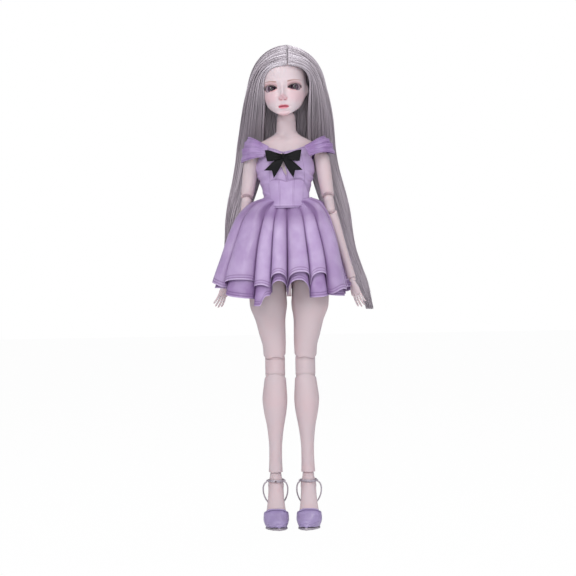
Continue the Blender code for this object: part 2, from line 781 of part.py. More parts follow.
def hip_point(sign):
    """The centre of a hip ball."""
    return Vector((sign * HIP_SPACING, TORSO_SETBACK, HIP_HEIGHT))


def hip_opening(sign):
    """The space that the thigh's top sweeps: all but a cone of the pelvis over the ball."""
    upward = Vector(HIP_BOWL_AXIS)
    upward.x *= sign
    upward.normalize()
    reach = HIP_BOWL_REACH
    angle = math.radians(HIP_BOWL_DEG)
    rim = (reach * math.sin(angle), reach * math.cos(angle))
    profile = [(0.0, 0.0), rim, (reach, -rim[1]), (reach / 2, -reach), (0.0, -reach)]
    space = turned("hip_opening", profile, hip_point(sign), upward, sides=LIMB_SIDES)
    fin = block(
        "crotch_fin",
        (-CROTCH_FIN_HALF, -HIP_HEIGHT, 0.0),
        (CROTCH_FIN_HALF, HIP_HEIGHT, HIP_HEIGHT + reach),
    )
    return cut(space, fin)


def build_pelvis(finish, body):
    """The pelvis shell, open at the waist, with a bowl and a leg opening on each side."""
    pelvis = torso_stack("pelvis", CROTCH_HEIGHT, PELVIS_SEAM_HEIGHT, 0.0, finish, body)
    cavity_top = PELVIS_SEAM_HEIGHT - WAIST_PLUG_DEPTH - SHELL_WALL
    cavity_floor = HIP_HEIGHT + HIP_BALL_RADIUS + SEAM_GAP
    cavity = torso_stack("pelvis_cavity", cavity_floor, cavity_top, -SHELL_WALL, sides=CAVITY_SIDES)
    collar_low = Vector((0.0, TORSO_SETBACK, cavity_top - CUT_OVERRUN))
    collar_high = Vector((0.0, TORSO_SETBACK, PELVIS_SEAM_HEIGHT + CUT_OVERRUN))
    collar = rod("waist_collar", collar_low, collar_high, bowl(WAIST_PLUG_RADIUS), sides=LIMB_SIDES)
    cut(pelvis, cavity, collar)
    for sign in SIDES.values():
        hip = hip_point(sign)
        waist = Vector((0.0, TORSO_SETBACK, cavity_top))
        cut(
            pelvis,
            ball("hip_bowl", hip, bowl(HIP_BALL_RADIUS)),
            hip_opening(sign),
            rod("hip_cord_hole", hip, hip.lerp(waist, HIP_CORD_SHARE), HIP_CORD_BORE),
        )
    return pelvis


def build_abdomen(finish, body):
    """The waist piece: a round plug in the pelvis below and a dome in the chest above."""
    low = PELVIS_SEAM_HEIGHT + SEAM_GAP
    abdomen = torso_stack("abdomen", low, ABDOMEN_RIM_HEIGHT, 0.0, finish, body)
    centre = Vector((0.0, TORSO_SETBACK, CHEST_BEND_HEIGHT))
    floor = Vector((0.0, TORSO_SETBACK, low + CUT_OVERRUN))
    plug_end = Vector((0.0, TORSO_SETBACK, PELVIS_SEAM_HEIGHT - WAIST_PLUG_DEPTH))
    across = (1.0, 0.0, 0.0)
    stretch = ABDOMEN_DOME_HALF_WIDTH / ABDOMEN_DOME_RADIUS
    dome = ball("waist_dome", centre, ABDOMEN_DOME_RADIUS, axis=across, stretch=stretch)
    plug = rod("waist_plug", floor, plug_end, WAIST_PLUG_RADIUS, sides=LIMB_SIDES)
    top = centre + Vector((0.0, 0.0, ABDOMEN_DOME_RADIUS + CUT_OVERRUN))
    bottom = plug_end - Vector((0.0, 0.0, CUT_OVERRUN))
    bore = rod("waist_bore", bottom, top, WAIST_BORE_RADIUS)
    return cut(fuse(abdomen, dome, plug), bore)


def shoulder_point(sign):
    """The centre of a shoulder ball."""
    return Vector((sign * SHOULDER_SPACING, ARM_SETBACK, SHOULDER_HEIGHT))


def build_chest(finish, body):
    """The chest shell and neck: a hollow torso with two arm bowls and the neck bore."""
    chest = torso_stack("chest", CHEST_BEND_HEIGHT, NECK_HEIGHT, 0.0, finish, body)
    neck = Vector((0.0, TORSO_SETBACK, NECK_BALL_HEIGHT))
    bend = Vector((0.0, TORSO_SETBACK, CHEST_BEND_HEIGHT))
    up = Vector((0.0, 0.0, 1.0))
    stretch = ABDOMEN_DOME_HALF_WIDTH / ABDOMEN_DOME_RADIUS
    dome = ball("chest_bowl", bend, bowl(ABDOMEN_DOME_RADIUS), axis=(1.0, 0.0, 0.0), stretch=stretch)
    cavity_low = CHEST_BEND_HEIGHT + ABDOMEN_DOME_RADIUS - SHELL_WALL
    cavity_high = NECK_CAVITY_HEIGHT
    cavity = torso_stack("chest_cavity", cavity_low, cavity_high, -SHELL_WALL, sides=CAVITY_SIDES)
    neck_top = neck + up * (NECK_BALL_RADIUS + CUT_OVERRUN)
    bore_start = Vector((0.0, TORSO_SETBACK, SHOULDER_HEIGHT))
    bore = rod("neck_bore", bore_start, neck_top, NECK_BORE_RADIUS)
    tunnel = rod("arm_tunnel", shoulder_point(-1.0), shoulder_point(1.0), HIP_CORD_BORE)
    fuse(chest, ball("neck_ball", neck, NECK_BALL_RADIUS, sides=NECK_SIDES))
    cut(chest, dome, cavity, bore, tunnel)
    for sign in SIDES.values():
        cut(chest, ball("arm_bowl", shoulder_point(sign), bowl(SHOULDER_BALL_RADIUS)))
    return chest


# Limbs

def limb_rings(start, end, half_width, half_depth, shares, sign, sides=LIMB_SIDES):
    """Sections of a limb from one joint's centre to the next."""
    along, side, back = frame_along(end - start)
    length = (end - start).length
    rings = []
    for way, width, depth, outward, rearward, slope in shares:
        centre = start + along * length * way
        centre = centre - side * sign * outward * half_width + back * rearward * half_depth
        ring = []
        for step in range(sides):
            angle = math.tau * step / sides
            reach = half_depth * depth * math.sin(angle)
            point = centre + side * (half_width * width * math.cos(angle)) + back * reach
            ring.append(point - along * (slope * reach))
        rings.append(ring)
    return rings


def double_joint(name, upper, lower, radius, half_width, bore, finish, body):
    """A knee or elbow piece: two rounded ends, each turning about a line across the limb."""
    along, side, back = frame_along(lower - upper)
    arc = np.radians(np.linspace(DOUBLE_JOINT_POLE_DEG, 0.0, DOUBLE_JOINT_STEPS))
    rings = []
    for centre, angles, facing in ((upper, arc, -1.0), (lower, arc[::-1], 1.0)):
        for lift in angles:
            middle = centre + along * (facing * radius * math.sin(lift))
            wide = half_width * math.cos(lift)
            deep = radius * math.cos(lift)
            rings.append([
                middle + side * (wide * math.cos(turn)) + back * (deep * math.sin(turn))
                for turn in (math.tau * step / BALL_SIDES for step in range(BALL_SIDES))
            ])
    piece = stack(name, rings, finish, body)
    overrun = along * (radius + CUT_OVERRUN)
    return cut(piece, rod(name + "_bore", upper - overrun, lower + overrun, bore))


def hinge_bowl(name, centre, across, radius, half_width):
    """The space in a limb's end that a knee or elbow piece turns in."""
    return ball(name, centre, bowl(radius), axis=across, stretch=half_width / radius)


def limb_bore(name, start, end, radius):
    """The hole for the elastic, right through a limb and out at both ends."""
    overrun = (end - start).normalized() * CUT_OVERRUN
    return rod(name, start - overrun, end + overrun, radius)


def leg_points(sign):
    """Hip, upper knee, lower knee and ankle centres of one leg."""
    return (
        hip_point(sign),
        Vector((sign * KNEE_SPACING, TORSO_SETBACK, KNEE_UPPER_HEIGHT)),
        Vector((sign * KNEE_SPACING, TORSO_SETBACK, KNEE_LOWER_HEIGHT)),
        Vector((sign * ANKLE_SPACING, ANKLE_SETBACK, ANKLE_HEIGHT)),
    )


def arm_points(sign):
    """Shoulder, upper elbow, lower elbow and wrist centres of one arm. The left arm hangs
    a little forward, before the skirt, and the right a little back, behind it."""
    sway = -sign * ARM_SWAY
    elbow_y = ARM_SETBACK + sway * ELBOW_SWAY_SHARE
    return (
        shoulder_point(sign),
        Vector((sign * ELBOW_UPPER_SPACING, elbow_y, ELBOW_UPPER_HEIGHT)),
        Vector((sign * ELBOW_LOWER_SPACING, elbow_y, ELBOW_LOWER_HEIGHT)),
        Vector((sign * WRIST_SPACING, ARM_SETBACK + sway, WRIST_HEIGHT)),
    )


def build_socket_ball(name, centre, radius, bore, inlet, outlet, sweep, finish, body):
    """A hip or shoulder ball, bored from the side that the elastic comes in at to the side
    that it leaves by, with a slot between the outlet or inlet and the way that it sweeps."""
    piece = ball(name, centre, radius, finish, body)
    reach = radius + CUT_OVERRUN
    tools = []
    for way, phase in ((inlet, ROD_PHASE_SHARE), (outlet, OUTLET_PHASE_SHARE)):
        way = Vector(way).normalized()
        start = centre - way * (bore / 2)
        tools.append(rod(name + "_bore", start, centre + way * reach, bore, phase=phase))
    half = bore * SLOT_SHARE
    low = Vector((-half, -half, -half))
    high = Vector((half, half, half))
    for way in sweep:
        for axis in range(3):
            if way[axis] > 0.0:
                high[axis] = reach
            elif way[axis] < 0.0:
                low[axis] = -reach
    return cut(piece, *tools, block(name + "_slot", centre + low, centre + high))


def build_leg(side, sign, skin, bodies):
    """Hip ball, thigh, knee piece and calf of one leg."""
    hip, upper, lower, ankle = leg_points(sign)
    across = (1.0, 0.0, 0.0)
    waist = Vector((0.0, TORSO_SETBACK, PELVIS_SEAM_HEIGHT - WAIST_PLUG_DEPTH))
    build_socket_ball("hip_ball_" + side, hip, HIP_BALL_RADIUS, HIP_CORD_BORE, waist - hip, upper - hip,
                      ((0.0, 0.0, 1.0), (0.0, -1.0, 0.0)), skin, bodies["hip_ball_" + side])
    rings = limb_rings(hip, upper, THIGH_HALF_WIDTH, THIGH_HALF_DEPTH, THIGH_SHARES, sign)
    thigh = stack("thigh_" + side, rings, skin, bodies["thigh_" + side])
    cut(
        thigh,
        ball("thigh_bowl", hip, bowl(HIP_BALL_RADIUS)),
        limb_bore("thigh_bore", hip, upper, LEG_BORE_RADIUS),
        hinge_bowl("thigh_knee_bowl", upper, across, KNEE_BALL_RADIUS, KNEE_HALF_WIDTH),
    )
    double_joint("knee_" + side, upper, lower, KNEE_BALL_RADIUS, KNEE_HALF_WIDTH,
                 LEG_BORE_RADIUS, skin, bodies["knee_" + side])
    rings = limb_rings(lower, ankle, CALF_HALF_WIDTH, CALF_HALF_DEPTH, CALF_SHARES, sign)
    calf = stack("calf_" + side, rings, skin, bodies["calf_" + side])
    cut(
        calf,
        hinge_bowl("calf_knee_bowl", lower, across, KNEE_BALL_RADIUS, KNEE_HALF_WIDTH),
        limb_bore("calf_bore", lower, ankle, LEG_BORE_RADIUS),
        ball("calf_bowl", ankle, bowl(ANKLE_BALL_RADIUS)),
    )


def build_arm(side, sign, skin, bodies):
    """Shoulder ball, upper arm, elbow piece and forearm of one arm."""
    shoulder, upper, lower, wrist = arm_points(sign)
    build_socket_ball("shoulder_ball_" + side, shoulder, SHOULDER_BALL_RADIUS, ARM_BORE_RADIUS,
                      (-sign, 0.0, 0.0), upper - shoulder, ((0.0, 0.0, -1.0), (sign, 0.0, 0.0)),
                      skin, bodies["shoulder_ball_" + side])
    across_upper = frame_along(upper - shoulder)[1]
    across_lower = frame_along(wrist - lower)[1]
    rings = limb_rings(shoulder, upper, UPPER_ARM_HALF, UPPER_ARM_HALF, UPPER_ARM_SHARES, sign)
    upper_arm = stack("upper_arm_" + side, rings, skin, bodies["upper_arm_" + side])
    cut(
        upper_arm,
        ball("upper_arm_bowl", shoulder, bowl(SHOULDER_BALL_RADIUS)),
        limb_bore("upper_arm_bore", shoulder, upper, ARM_BORE_RADIUS),
        hinge_bowl("upper_elbow_bowl", upper, across_upper, ELBOW_BALL_RADIUS, ELBOW_HALF_WIDTH),
    )
    double_joint("elbow_" + side, upper, lower, ELBOW_BALL_RADIUS, ELBOW_HALF_WIDTH,
                 ARM_BORE_RADIUS, skin, bodies["elbow_" + side])
    rings = limb_rings(lower, wrist, FOREARM_HALF, FOREARM_HALF, FOREARM_SHARES, sign)
    forearm = stack("forearm_" + side, rings, skin, bodies["forearm_" + side])
    cut(
        forearm,
        hinge_bowl("lower_elbow_bowl", lower, across_lower, ELBOW_BALL_RADIUS, ELBOW_HALF_WIDTH),
        limb_bore("forearm_bore", lower, wrist, ARM_BORE_RADIUS),
        ball("forearm_bowl", wrist, bowl(WRIST_BALL_RADIUS)),
    )


# Hooks, hands and feet

def hook_path(centre, along, back, curl, shank):
    """The middle line of an S hook: a curl about the bar at its foot and one at its head."""
    up = -along
    lower = [
        centre + (up * math.cos(turn) + back * math.sin(turn)) * curl
        for turn in np.radians(np.linspace(*HOOK_LOWER_DEG, HOOK_STEPS))
    ]
    head = centre + up * (curl + shank)
    upper = [
        head + (up * math.cos(turn) + back * math.sin(turn)) * curl
        for turn in np.radians(np.linspace(*HOOK_UPPER_DEG, HOOK_STEPS))
    ]
    return lower + upper


def slotted_ball(piece, centre, along, side, back, radius, slot_half, curl, bar):
    """Slot a limb's ball for its hook, and leave the bar that the hook pulls on."""
    name = piece.name
    reach = radius + CUT_OVERRUN
    below = curl + slot_half
    corners = []
    for height in (-reach, below):
        for wide, deep in ((-1.0, -1.0), (1.0, -1.0), (1.0, 1.0), (-1.0, 1.0)):
            corners.append(centre + along * height + side * (slot_half * wide)
                           + back * (below * deep if height > 0.0 else reach * deep))
    slot = stack(name + "_slot", [corners[:4], corners[4:]])
    half = side * (radius * BAR_REACH_SHARE)
    return fuse(cut(piece, slot), rod(name + "_bar", centre - half, centre + half, bar))


def finger(name, base, direction, bend_towards, length, radius):
    """One finger: three straight bones, each bent a little more than the last."""
    points = [Vector(base)]
    heading = Vector(direction).normalized()
    lean = Vector(bend_towards).normalized()
    rings = []
    for share, bend, width in FINGER_SHARES:
        heading = (heading + lean * bend).normalized()
        points.append(points[-1] + heading * length * share)
        side, back = frame_along(heading)[1:]
        rings.append([
            points[-2] + (side * math.cos(turn) + back * math.sin(turn)) * radius * width
            for turn in (math.tau * step / FINGER_SIDES for step in range(FINGER_SIDES))
        ])
    return stack(name, rings)


def build_hand(side_name, sign, skin, steel, bodies):
    """A hand with its ball, four fingers and a thumb, and the hook on its bar."""
    lower, wrist = arm_points(sign)[2:]
    along, side, back = frame_along(wrist - lower)
    turn = Matrix.Rotation(math.radians(HAND_TURN_DEG) * sign, 3, along)
    broad = turn @ side
    thick = turn @ back
    rings = []
    for way, wide, deep in PALM_SHARES:
        centre = wrist + along * (PALM_LENGTH * way)
        rings.append([
            centre + broad * (PALM_HALF_WIDTH * wide * math.cos(a))
            + thick * (PALM_HALF_DEPTH * deep * math.sin(a))
            for a in (math.tau * step / HAND_SIDES for step in range(HAND_SIDES))
        ])
    hand = stack("hand_" + side_name, rings, skin, bodies["hand_" + side_name])
    fuse(hand, ball("hand_ball", wrist, WRIST_BALL_RADIUS, sides=HAND_SIDES))
    knuckles = wrist + along * (PALM_LENGTH - FINGER_RADIUS)
    for place_share, length_share in FINGER_PLACE_SHARES:
        base = knuckles + broad * (PALM_HALF_WIDTH * place_share * sign)
        spread = along + broad * (place_share * FINGER_SPREAD_SHARE * sign)
        fuse(hand, finger("finger", base, spread, thick, FINGER_LENGTH * length_share, FINGER_RADIUS))
    thumb_base = wrist + along * (PALM_LENGTH * THUMB_BASE_SHARE) + broad * (THUMB_OUT * sign)
    thumb_way = along + broad * (THUMB_SPREAD_SHARE * sign)
    fuse(hand, finger("thumb", thumb_base, thumb_way, thick, THUMB_LENGTH, FINGER_RADIUS))
    slotted_ball(hand, wrist, along, side, back, WRIST_BALL_RADIUS, WRIST_SLOT_HALF,
                 WRIST_CURL, WRIST_BAR_RADIUS)
    path = hook_path(wrist, along, back, WRIST_CURL, HOOK_SHANK)
    wire("wrist_hook_" + side_name, path, WRIST_WIRE, steel, bodies["wrist_hook_" + side_name], 0)


def foot_row(share):
    """Half width, underside and top of the foot at a share of the way from heel to toe."""
    table = np.array(FOOT_SHARES)
    wide, low, high = (np.interp(share, table[:, 0], table[:, k]) for k in (1, 2, 3))
    return FOOT_HALF_WIDTH * wide, INSTEP_HEIGHT * low, INSTEP_HEIGHT * high


def foot_y(share):
    """How far back a share of the foot's length lies."""
    return HEEL_SETBACK - FOOT_LENGTH * share


def toe_lean(share, sign):
    """How far sideways the foot and its shoe lie there: the toes lean inward."""
    return -sign * TOE_LEAN * max(0.0, share - TOE_LEAN_SHARE)


def build_foot(side_name, sign, skin, steel, bodies):
    """A foot in its raised-heel shape, with the ankle ball and the hook on its bar."""
    body = bodies["foot_" + side_name]
    ankle = leg_points(sign)[3]
    middle = sign * ANKLE_SPACING
    rings = []
    for row in FOOT_SHARES:
        wide, low, high = foot_row(row[0])
        centre_x = middle + toe_lean(row[0], sign)
        rings.append([
            Vector((centre_x + wide * math.cos(a), foot_y(row[0]),
                    (low + high) / 2 + (high - low) / 2 * math.sin(a)))
            for a in (math.tau * step / HAND_SIDES for step in range(HAND_SIDES))
        ])
    foot = stack("foot_" + side_name, rings, skin, body)
    root = Vector((ankle.x, ankle.y, INSTEP_HEIGHT * ANKLE_ROOT_SHARE))
    column = [(ANKLE_COLUMN_RADIUS * r, (ankle.z - root.z) * h) for r, h in ANKLE_COLUMN_SHARES]
    fuse(
        foot,
        turned("ankle_column", column, root, (0.0, 0.0, 1.0)),
        ball("ankle_ball", ankle, ANKLE_BALL_RADIUS),
    )
    lower = leg_points(sign)[2]
    along, side, back = frame_along(ankle - lower)
    slotted_ball(foot, ankle, along, side, back, ANKLE_BALL_RADIUS, ANKLE_SLOT_HALF,
                 ANKLE_CURL, ANKLE_BAR_RADIUS)
    path = hook_path(ankle, along, back, ANKLE_CURL, HOOK_SHANK)
    wire("ankle_hook_" + side_name, path, ANKLE_WIRE, steel, bodies["ankle_hook_" + side_name])


def sole_top(share):
    """The height of the shoe's inner sole at a share of the foot's length."""
    return foot_row(share)[1] - SEAM_GAP


def build_shoe(side_name, sign, lilac, silver, bodies):
    """The shoe: a pointed vamp, a sole with its high heel, an ankle strap and a heel strap."""
    body = bodies["foot_" + side_name]
    middle = sign * ANKLE_SPACING
    tops, bottoms = [], []
    for share, wide in SOLE_SHARES:
        top = sole_top(min(share, 1.0))
        bottom = max(0.0, top - SOLE_THICKNESS)
        centre_x = middle + toe_lean(share, sign)
        row_x = [centre_x + SOLE_HALF_WIDTH * wide * x for x in np.linspace(-1.0, 1.0, SOLE_COLUMNS)]
        tops.append([Vector((x, foot_y(share), top)) for x in row_x])
        bottoms.append([Vector((x, foot_y(share), bottom)) for x in row_x])
    sole = sheet("shoe_sole_" + side_name, tops, bottoms, False, silver, body)
    heel_y = foot_y(HEEL_POST_SHARE)
    slope = (sole_top(0.0) - sole_top(HEEL_POST_SHARE)) / (FOOT_LENGTH * HEEL_POST_SHARE)
    rings = []
    for lift, radius in HEEL_POST_SHARES:
        height = (sole_top(HEEL_POST_SHARE) - SOLE_THICKNESS / 2) * lift
        ring = []
        for a in (math.tau * step / BALL_SIDES for step in range(BALL_SIDES)):
            reach = HEEL_SEAT_RADIUS * radius
            tilt = slope * reach * math.sin(a) if lift == 1.0 else 0.0
            ring.append(Vector((middle + reach * math.cos(a), heel_y + reach * math.sin(a),
                                height + tilt)))
        rings.append(ring)
    fuse(sole, stack("heel_post", rings))
    outer, inner = [], []
    for share, wide, lift in VAMP_SHARES:
        low, high = foot_row(min(share, 1.0))[1:]
        rim = low + SEAM_GAP
        rise = (high - rim) * lift
        centre_x = middle + toe_lean(share, sign)
        for grid, grow in ((outer, VAMP_THICKNESS + VAMP_EASE), (inner, VAMP_EASE)):
            grid.append([
                Vector((centre_x + (FOOT_HALF_WIDTH * wide + grow) * math.cos(a),
                        foot_y(share), rim + rise / 2 + (rise / 2 + grow) * math.sin(a)))
                for a in np.radians(np.linspace(-VAMP_WRAP_DEG, 180.0 + VAMP_WRAP_DEG, VAMP_COLUMNS))
            ])
    sheet("shoe_vamp_" + side_name, outer, inner, False, lilac, body)
    strap_rings = ([], [])
    for grid, grow in zip(strap_rings, (STRAP_THICKNESS, 0.0)):
        for height in (STRAP_HEIGHT - STRAP_HALF_WIDTH, STRAP_HEIGHT + STRAP_HALF_WIDTH):
            grid.append([
                Vector((middle + (STRAP_RADIUS + grow) * math.cos(a),
                        ANKLE_SETBACK + (STRAP_RADIUS + grow) * math.sin(a), height))
                for a in (math.tau * step / LIMB_SIDES for step in range(LIMB_SIDES))
            ])
    sheet("ankle_strap_" + side_name, strap_rings[0], strap_rings[1], True, silver, body)
    strap_top = STRAP_HEIGHT - STRAP_HALF_WIDTH - SEAM_GAP
    foot_side = foot_row(LOOP_FOOT_SHARE)
    outer, inner = [], []
    for deep in (-STRAP_HALF_WIDTH, STRAP_HALF_WIDTH):
        for grid, grow in ((outer, STRAP_THICKNESS), (inner, 0.0)):
            grid.append([])
            for wide, lift in LOOP_SHARES:
                low = foot_side[1] * LOOP_FLOOR_SHARE
                x = middle + (STRAP_RADIUS * abs(wide) + grow) * np.sign(wide)
                grid[-1].append(Vector((x, foot_y(LOOP_FOOT_SHARE) + deep,
                                        low + (strap_top - low) * lift)))
    for number, columns in (("outer", range(LOOP_POINTS)), ("inner", range(LOOP_POINTS, 2 * LOOP_POINTS))):
        sheet(
            "side_strap_" + number + "_" + side_name,
            [[row[k] for k in columns] for row in outer],
            [[row[k] for k in columns] for row in inner],
            False, silver, body,
        )


# Head and hair

def head_pose():
    """The turn and tilt of the head about the neck ball."""
    neck = Vector((0.0, TORSO_SETBACK, NECK_BALL_HEIGHT))
    turn = Matrix.Rotation(math.radians(-HEAD_TURN_DEG), 4, "Z")
    tilt = Matrix.Rotation(math.radians(-HEAD_TILT_DEG), 4, "Y")
    return Matrix.Translation(neck) @ turn @ tilt @ Matrix.Translation(-neck)


def posed(item):
    """Turn a piece of the head into the head's pose."""
    item.data.transform(head_pose())
    return item


def skull_row(share):
    """Half width, front and back of the skull at a share of the way from chin to crown."""
    table = np.array(HEAD_SHARES)
    return [np.interp(share, table[:, 0], table[:, k]) for k in (1, 2, 3)]


def skull_ring(share, grow=0.0, relief=False):
    """The head's outline at one height, with more points at the face than at the back. A
    grown outline also rises, the more the nearer it lies to the crown."""
    wide, front, back = skull_row(share)
    half = SKULL_HALF_WIDTH * wide + grow
    near = SKULL_HALF_DEPTH * front + grow
    far = SKULL_HALF_DEPTH * back + grow
    middle = SKULL_SETBACK + (far - near) / 2
    depth = max((far + near) / 2, SEAM_GAP)
    height = head_height(share) + grow * max(0.0, 2 * share - 1)
    ring = []
    for step in range(HEAD_SIDES):
        even = math.tau * step / HEAD_SIDES
        angle = even + FACE_CROWDING_SHARE * math.sin(even)
        x = half * math.sin(angle)
        y = middle - depth * math.cos(angle)
        if relief:
            y -= face_relief(x, share) * max(0.0, math.cos(angle))
        ring.append(Vector((x, y, height)))
    return ring


def face_relief(x, share):
    """How far the nose, lips, brow, chin and cheeks stand forward, less the eye hollows."""
    total = 0.0
    for rise, x_place, width, height, spread in FACE_RELIEF_SHARES:
        for mirror in ((x_place,) if x_place == 0.0 else (x_place, -x_place)):
            across = (x / SKULL_HALF_WIDTH - mirror) / width
            along = (share - height) / spread
            total += rise * math.exp(-across * across - along * along)
    return total * NOSE_RISE


def skull_stack(name, shares, grow=0.0, relief=False, finish=None, body=None):
    """A solid of the head's own sections."""
    return stack(name, [skull_ring(share, grow, relief) for share in shares], finish, body)


def skull_shell(name, finish, body):
    """The hollow skull before it is parted, with the neck bowl and the hook's slot."""
    shares = sorted(set(np.round(np.concatenate([
        np.linspace(0.0, FACE_TOP_SHARE, FACE_ROWS),
        np.array([row[0] for row in HEAD_SHARES if row[0] > FACE_TOP_SHARE]),
    ]), 4)))
    shell = skull_stack(name, shares, 0.0, True, finish, body)
    low = HEAD_FLOOR_SHARE
    wall = SKULL_WALL / HEAD_LENGTH
    high = 1.0 - wall
    rows = [low] + [row[0] for row in HEAD_SHARES if low < row[0] < high - wall] + [high]
    neck = Vector((0.0, TORSO_SETBACK, NECK_BALL_HEIGHT))
    slot = block(
        "hook_slot",
        (-HEAD_SLOT_HALF_WIDTH, TORSO_SETBACK - HEAD_SLOT_HALF_DEPTH, NECK_BALL_HEIGHT),
        (HEAD_SLOT_HALF_WIDTH, TORSO_SETBACK + HEAD_SLOT_HALF_DEPTH, HEAD_FLOOR_HEIGHT + CUT_OVERRUN),
    )
    return cut(
        shell,
        skull_stack("skull_cavity", rows, -SKULL_WALL),
        ball("neck_bowl", neck, bowl(NECK_BALL_RADIUS), sides=NECK_SIDES),
        slot,
    )


def cap_wedge(gap):
    """The space behind the cap's parting plane, which slopes down to the back."""
    slope = math.radians(CAP_CUT_SLOPE_DEG)
    reach = SKULL_HALF_DEPTH * 2
    start = Vector((0.0, -reach, CAP_CUT_HEIGHT + gap + math.tan(slope) * reach))
    end = Vector((0.0, reach, CAP_CUT_HEIGHT + gap - math.tan(slope) * reach))
    top = Vector((0.0, reach, SKULL_TOP_HEIGHT + reach))
    rim = Vector((0.0, -reach, SKULL_TOP_HEIGHT + reach))
    out = Vector((reach, 0.0, 0.0))
    return stack("cap_wedge", [[p + out * k for p in (start, end, top, rim)] for k in (-1.0, 1.0)])


def eye_point(sign):
    """The centre of an eyeball, set back behind the face."""
    share = EYE_HEIGHT_SHARE
    front = min(
        (p for p in skull_ring(share, 0.0, True)), key=lambda p: abs(p.x - sign * EYE_SPACING) + p.y
    )
    return Vector((sign * EYE_SPACING, front.y + EYE_RECESS + EYE_RADIUS, EYE_HEIGHT))


def build_head(skin, glass, bodies):
    """The face half of the skull, its cap, and the two eyeballs in their wells."""
    body = bodies["head"]
    head = cut(skull_shell("head", skin, body), cap_wedge(0.0))
    cap = combine(skull_shell("head_cap", skin, body), cap_wedge(SEAM_GAP), "INTERSECT")
    for side_name, sign in SIDES.items():
        eye = eye_point(sign)
        outline = []
        for a in (math.tau * step / BALL_SIDES for step in range(BALL_SIDES)):
            outline.append((EYE_OPENING_HALF_WIDTH * math.cos(a), EYE_OPENING_HALF_HEIGHT * math.sin(a)))
        reach = Vector((0.0, EYE_RADIUS * 2, 0.0))
        opening = stack("eye_opening", [
            [eye + reach * k + Vector((x, 0.0, z)) for x, z in outline] for k in (-1.0, 0.0)
        ])
        cut(head, opening, ball("eye_well", eye, EYE_RADIUS + SEAM_GAP))
        posed(ball("eye_" + side_name, eye, EYE_RADIUS, glass, body, steps=BALL_STEPS))
    for item in [head, cap] + [step.object for piece in (head, cap) for step in piece.modifiers]:
        if not item.get("posed"):
            item["posed"] = True
            posed(item)


def build_head_hook(steel, bodies):
    """The hook that runs from the head's floor down the neck to the leg elastic."""
    low = Vector((0.0, TORSO_SETBACK, HEAD_HOOK_FOOT_HEIGHT))
    curl = HEAD_HOOK_CURL
    rest = HEAD_FLOOR_HEIGHT + HEAD_HOOK_WIRE + SEAM_GAP
    lower = [
        low + Vector((math.sin(turn), 0.0, math.cos(turn))) * curl
        for turn in np.radians(np.linspace(*HEAD_HOOK_LOWER_DEG, HOOK_STEPS))
    ]
    crown = rest + curl
    upper = [
        Vector((curl - curl * math.cos(turn), TORSO_SETBACK, crown + curl * math.sin(turn)))
        for turn in np.radians(np.linspace(*HEAD_HOOK_UPPER_DEG, HOOK_STEPS))
    ]
    end = Vector((2 * curl, TORSO_SETBACK, rest))
    wire("head_hook", lower + upper + [end], HEAD_HOOK_WIRE, steel, bodies["head_hook"])


def hair_ring(height, left, right, near, far, sides):
    """An oval section of the hair, from shares of the head's length and the skull's halves."""
    wide = SKULL_HALF_WIDTH * (right - left) / 2
    deep = SKULL_HALF_DEPTH * (far - near) / 2
    middle = Vector((SKULL_HALF_WIDTH * (left + right) / 2, SKULL_HALF_DEPTH * (near + far) / 2,
                     head_height(height)))
    return [
        middle + Vector((wide * math.cos(a), deep * math.sin(a), 0.0))
        for a in (math.tau * step / sides for step in range(sides))
    ]


def build_hair(hair, cap_cloth, bodies):
    """The wig: a thin cap on the skull, and the hair over it with its three falls."""
    body = bodies["head"]
    shares = [row[0] for row in HEAD_SHARES]
    cap_grow = WIG_CAP_EASE + WIG_CAP_THICKNESS
    wig_cap = posed(skull_stack("wig_cap", shares, cap_grow, False, cap_cloth, body))
    combine(wig_cap, posed(cap_wedge(-WIG_CAP_DROP)), "INTERSECT")
    cut(wig_cap, posed(skull_stack("wig_cap_space", shares, WIG_CAP_EASE)))
    crown = stack("hair", [hair_ring(*row, HAIR_CROWN_SIDES) for row in HAIR_CROWN_SHARES], hair, body)
    for name, rows in HAIR_FALL_SHARES.items():
        fuse(crown, stack(name, [hair_ring(*row, HAIR_FALL_SIDES) for row in rows]))
    reach = Vector((0.0, SKULL_HALF_DEPTH * 2, 0.0))
    edge = [(SKULL_HALF_WIDTH * wide, head_height(high)) for wide, high in FACE_OPENING_SHARES]
    arch = [Vector((x, FACE_OPENING_BACK, z)) for x, z in edge]
    arch += [Vector((-x, FACE_OPENING_BACK, z)) for x, z in reversed(edge)]
    opening = stack("face_opening", [[p - reach * k for p in arch] for k in (1.0, 0.0)])
    cut(
        crown,
        posed(skull_stack("hair_space", shares, cap_grow + SEAM_GAP)),
        posed(opening),
    )


# Dress

def torso_sheet_rows(heights_by_column, grow, columns):
    """Rows of points that follow the torso at a distance, from a low to a high edge."""
    rows = []
    for level in np.linspace(0.0, 1.0, BODICE_ROWS):
        row = []
        for column in range(columns):
            low, high = heights_by_column(math.tau * column / columns)
            ring = torso_ring(low + (high - low) * level, grow, columns)
            row.append(ring[column])
        rows.append(row)
    return rows


def bodice_edges(angle):
    """The bodice's lower and upper edge: low at the back, dipped between the cups."""
    facing = -math.sin(angle)
    top = torso_height(float(np.interp(facing, *zip(*NECKLINE_SHARES))))
    return BODICE_LOW, top


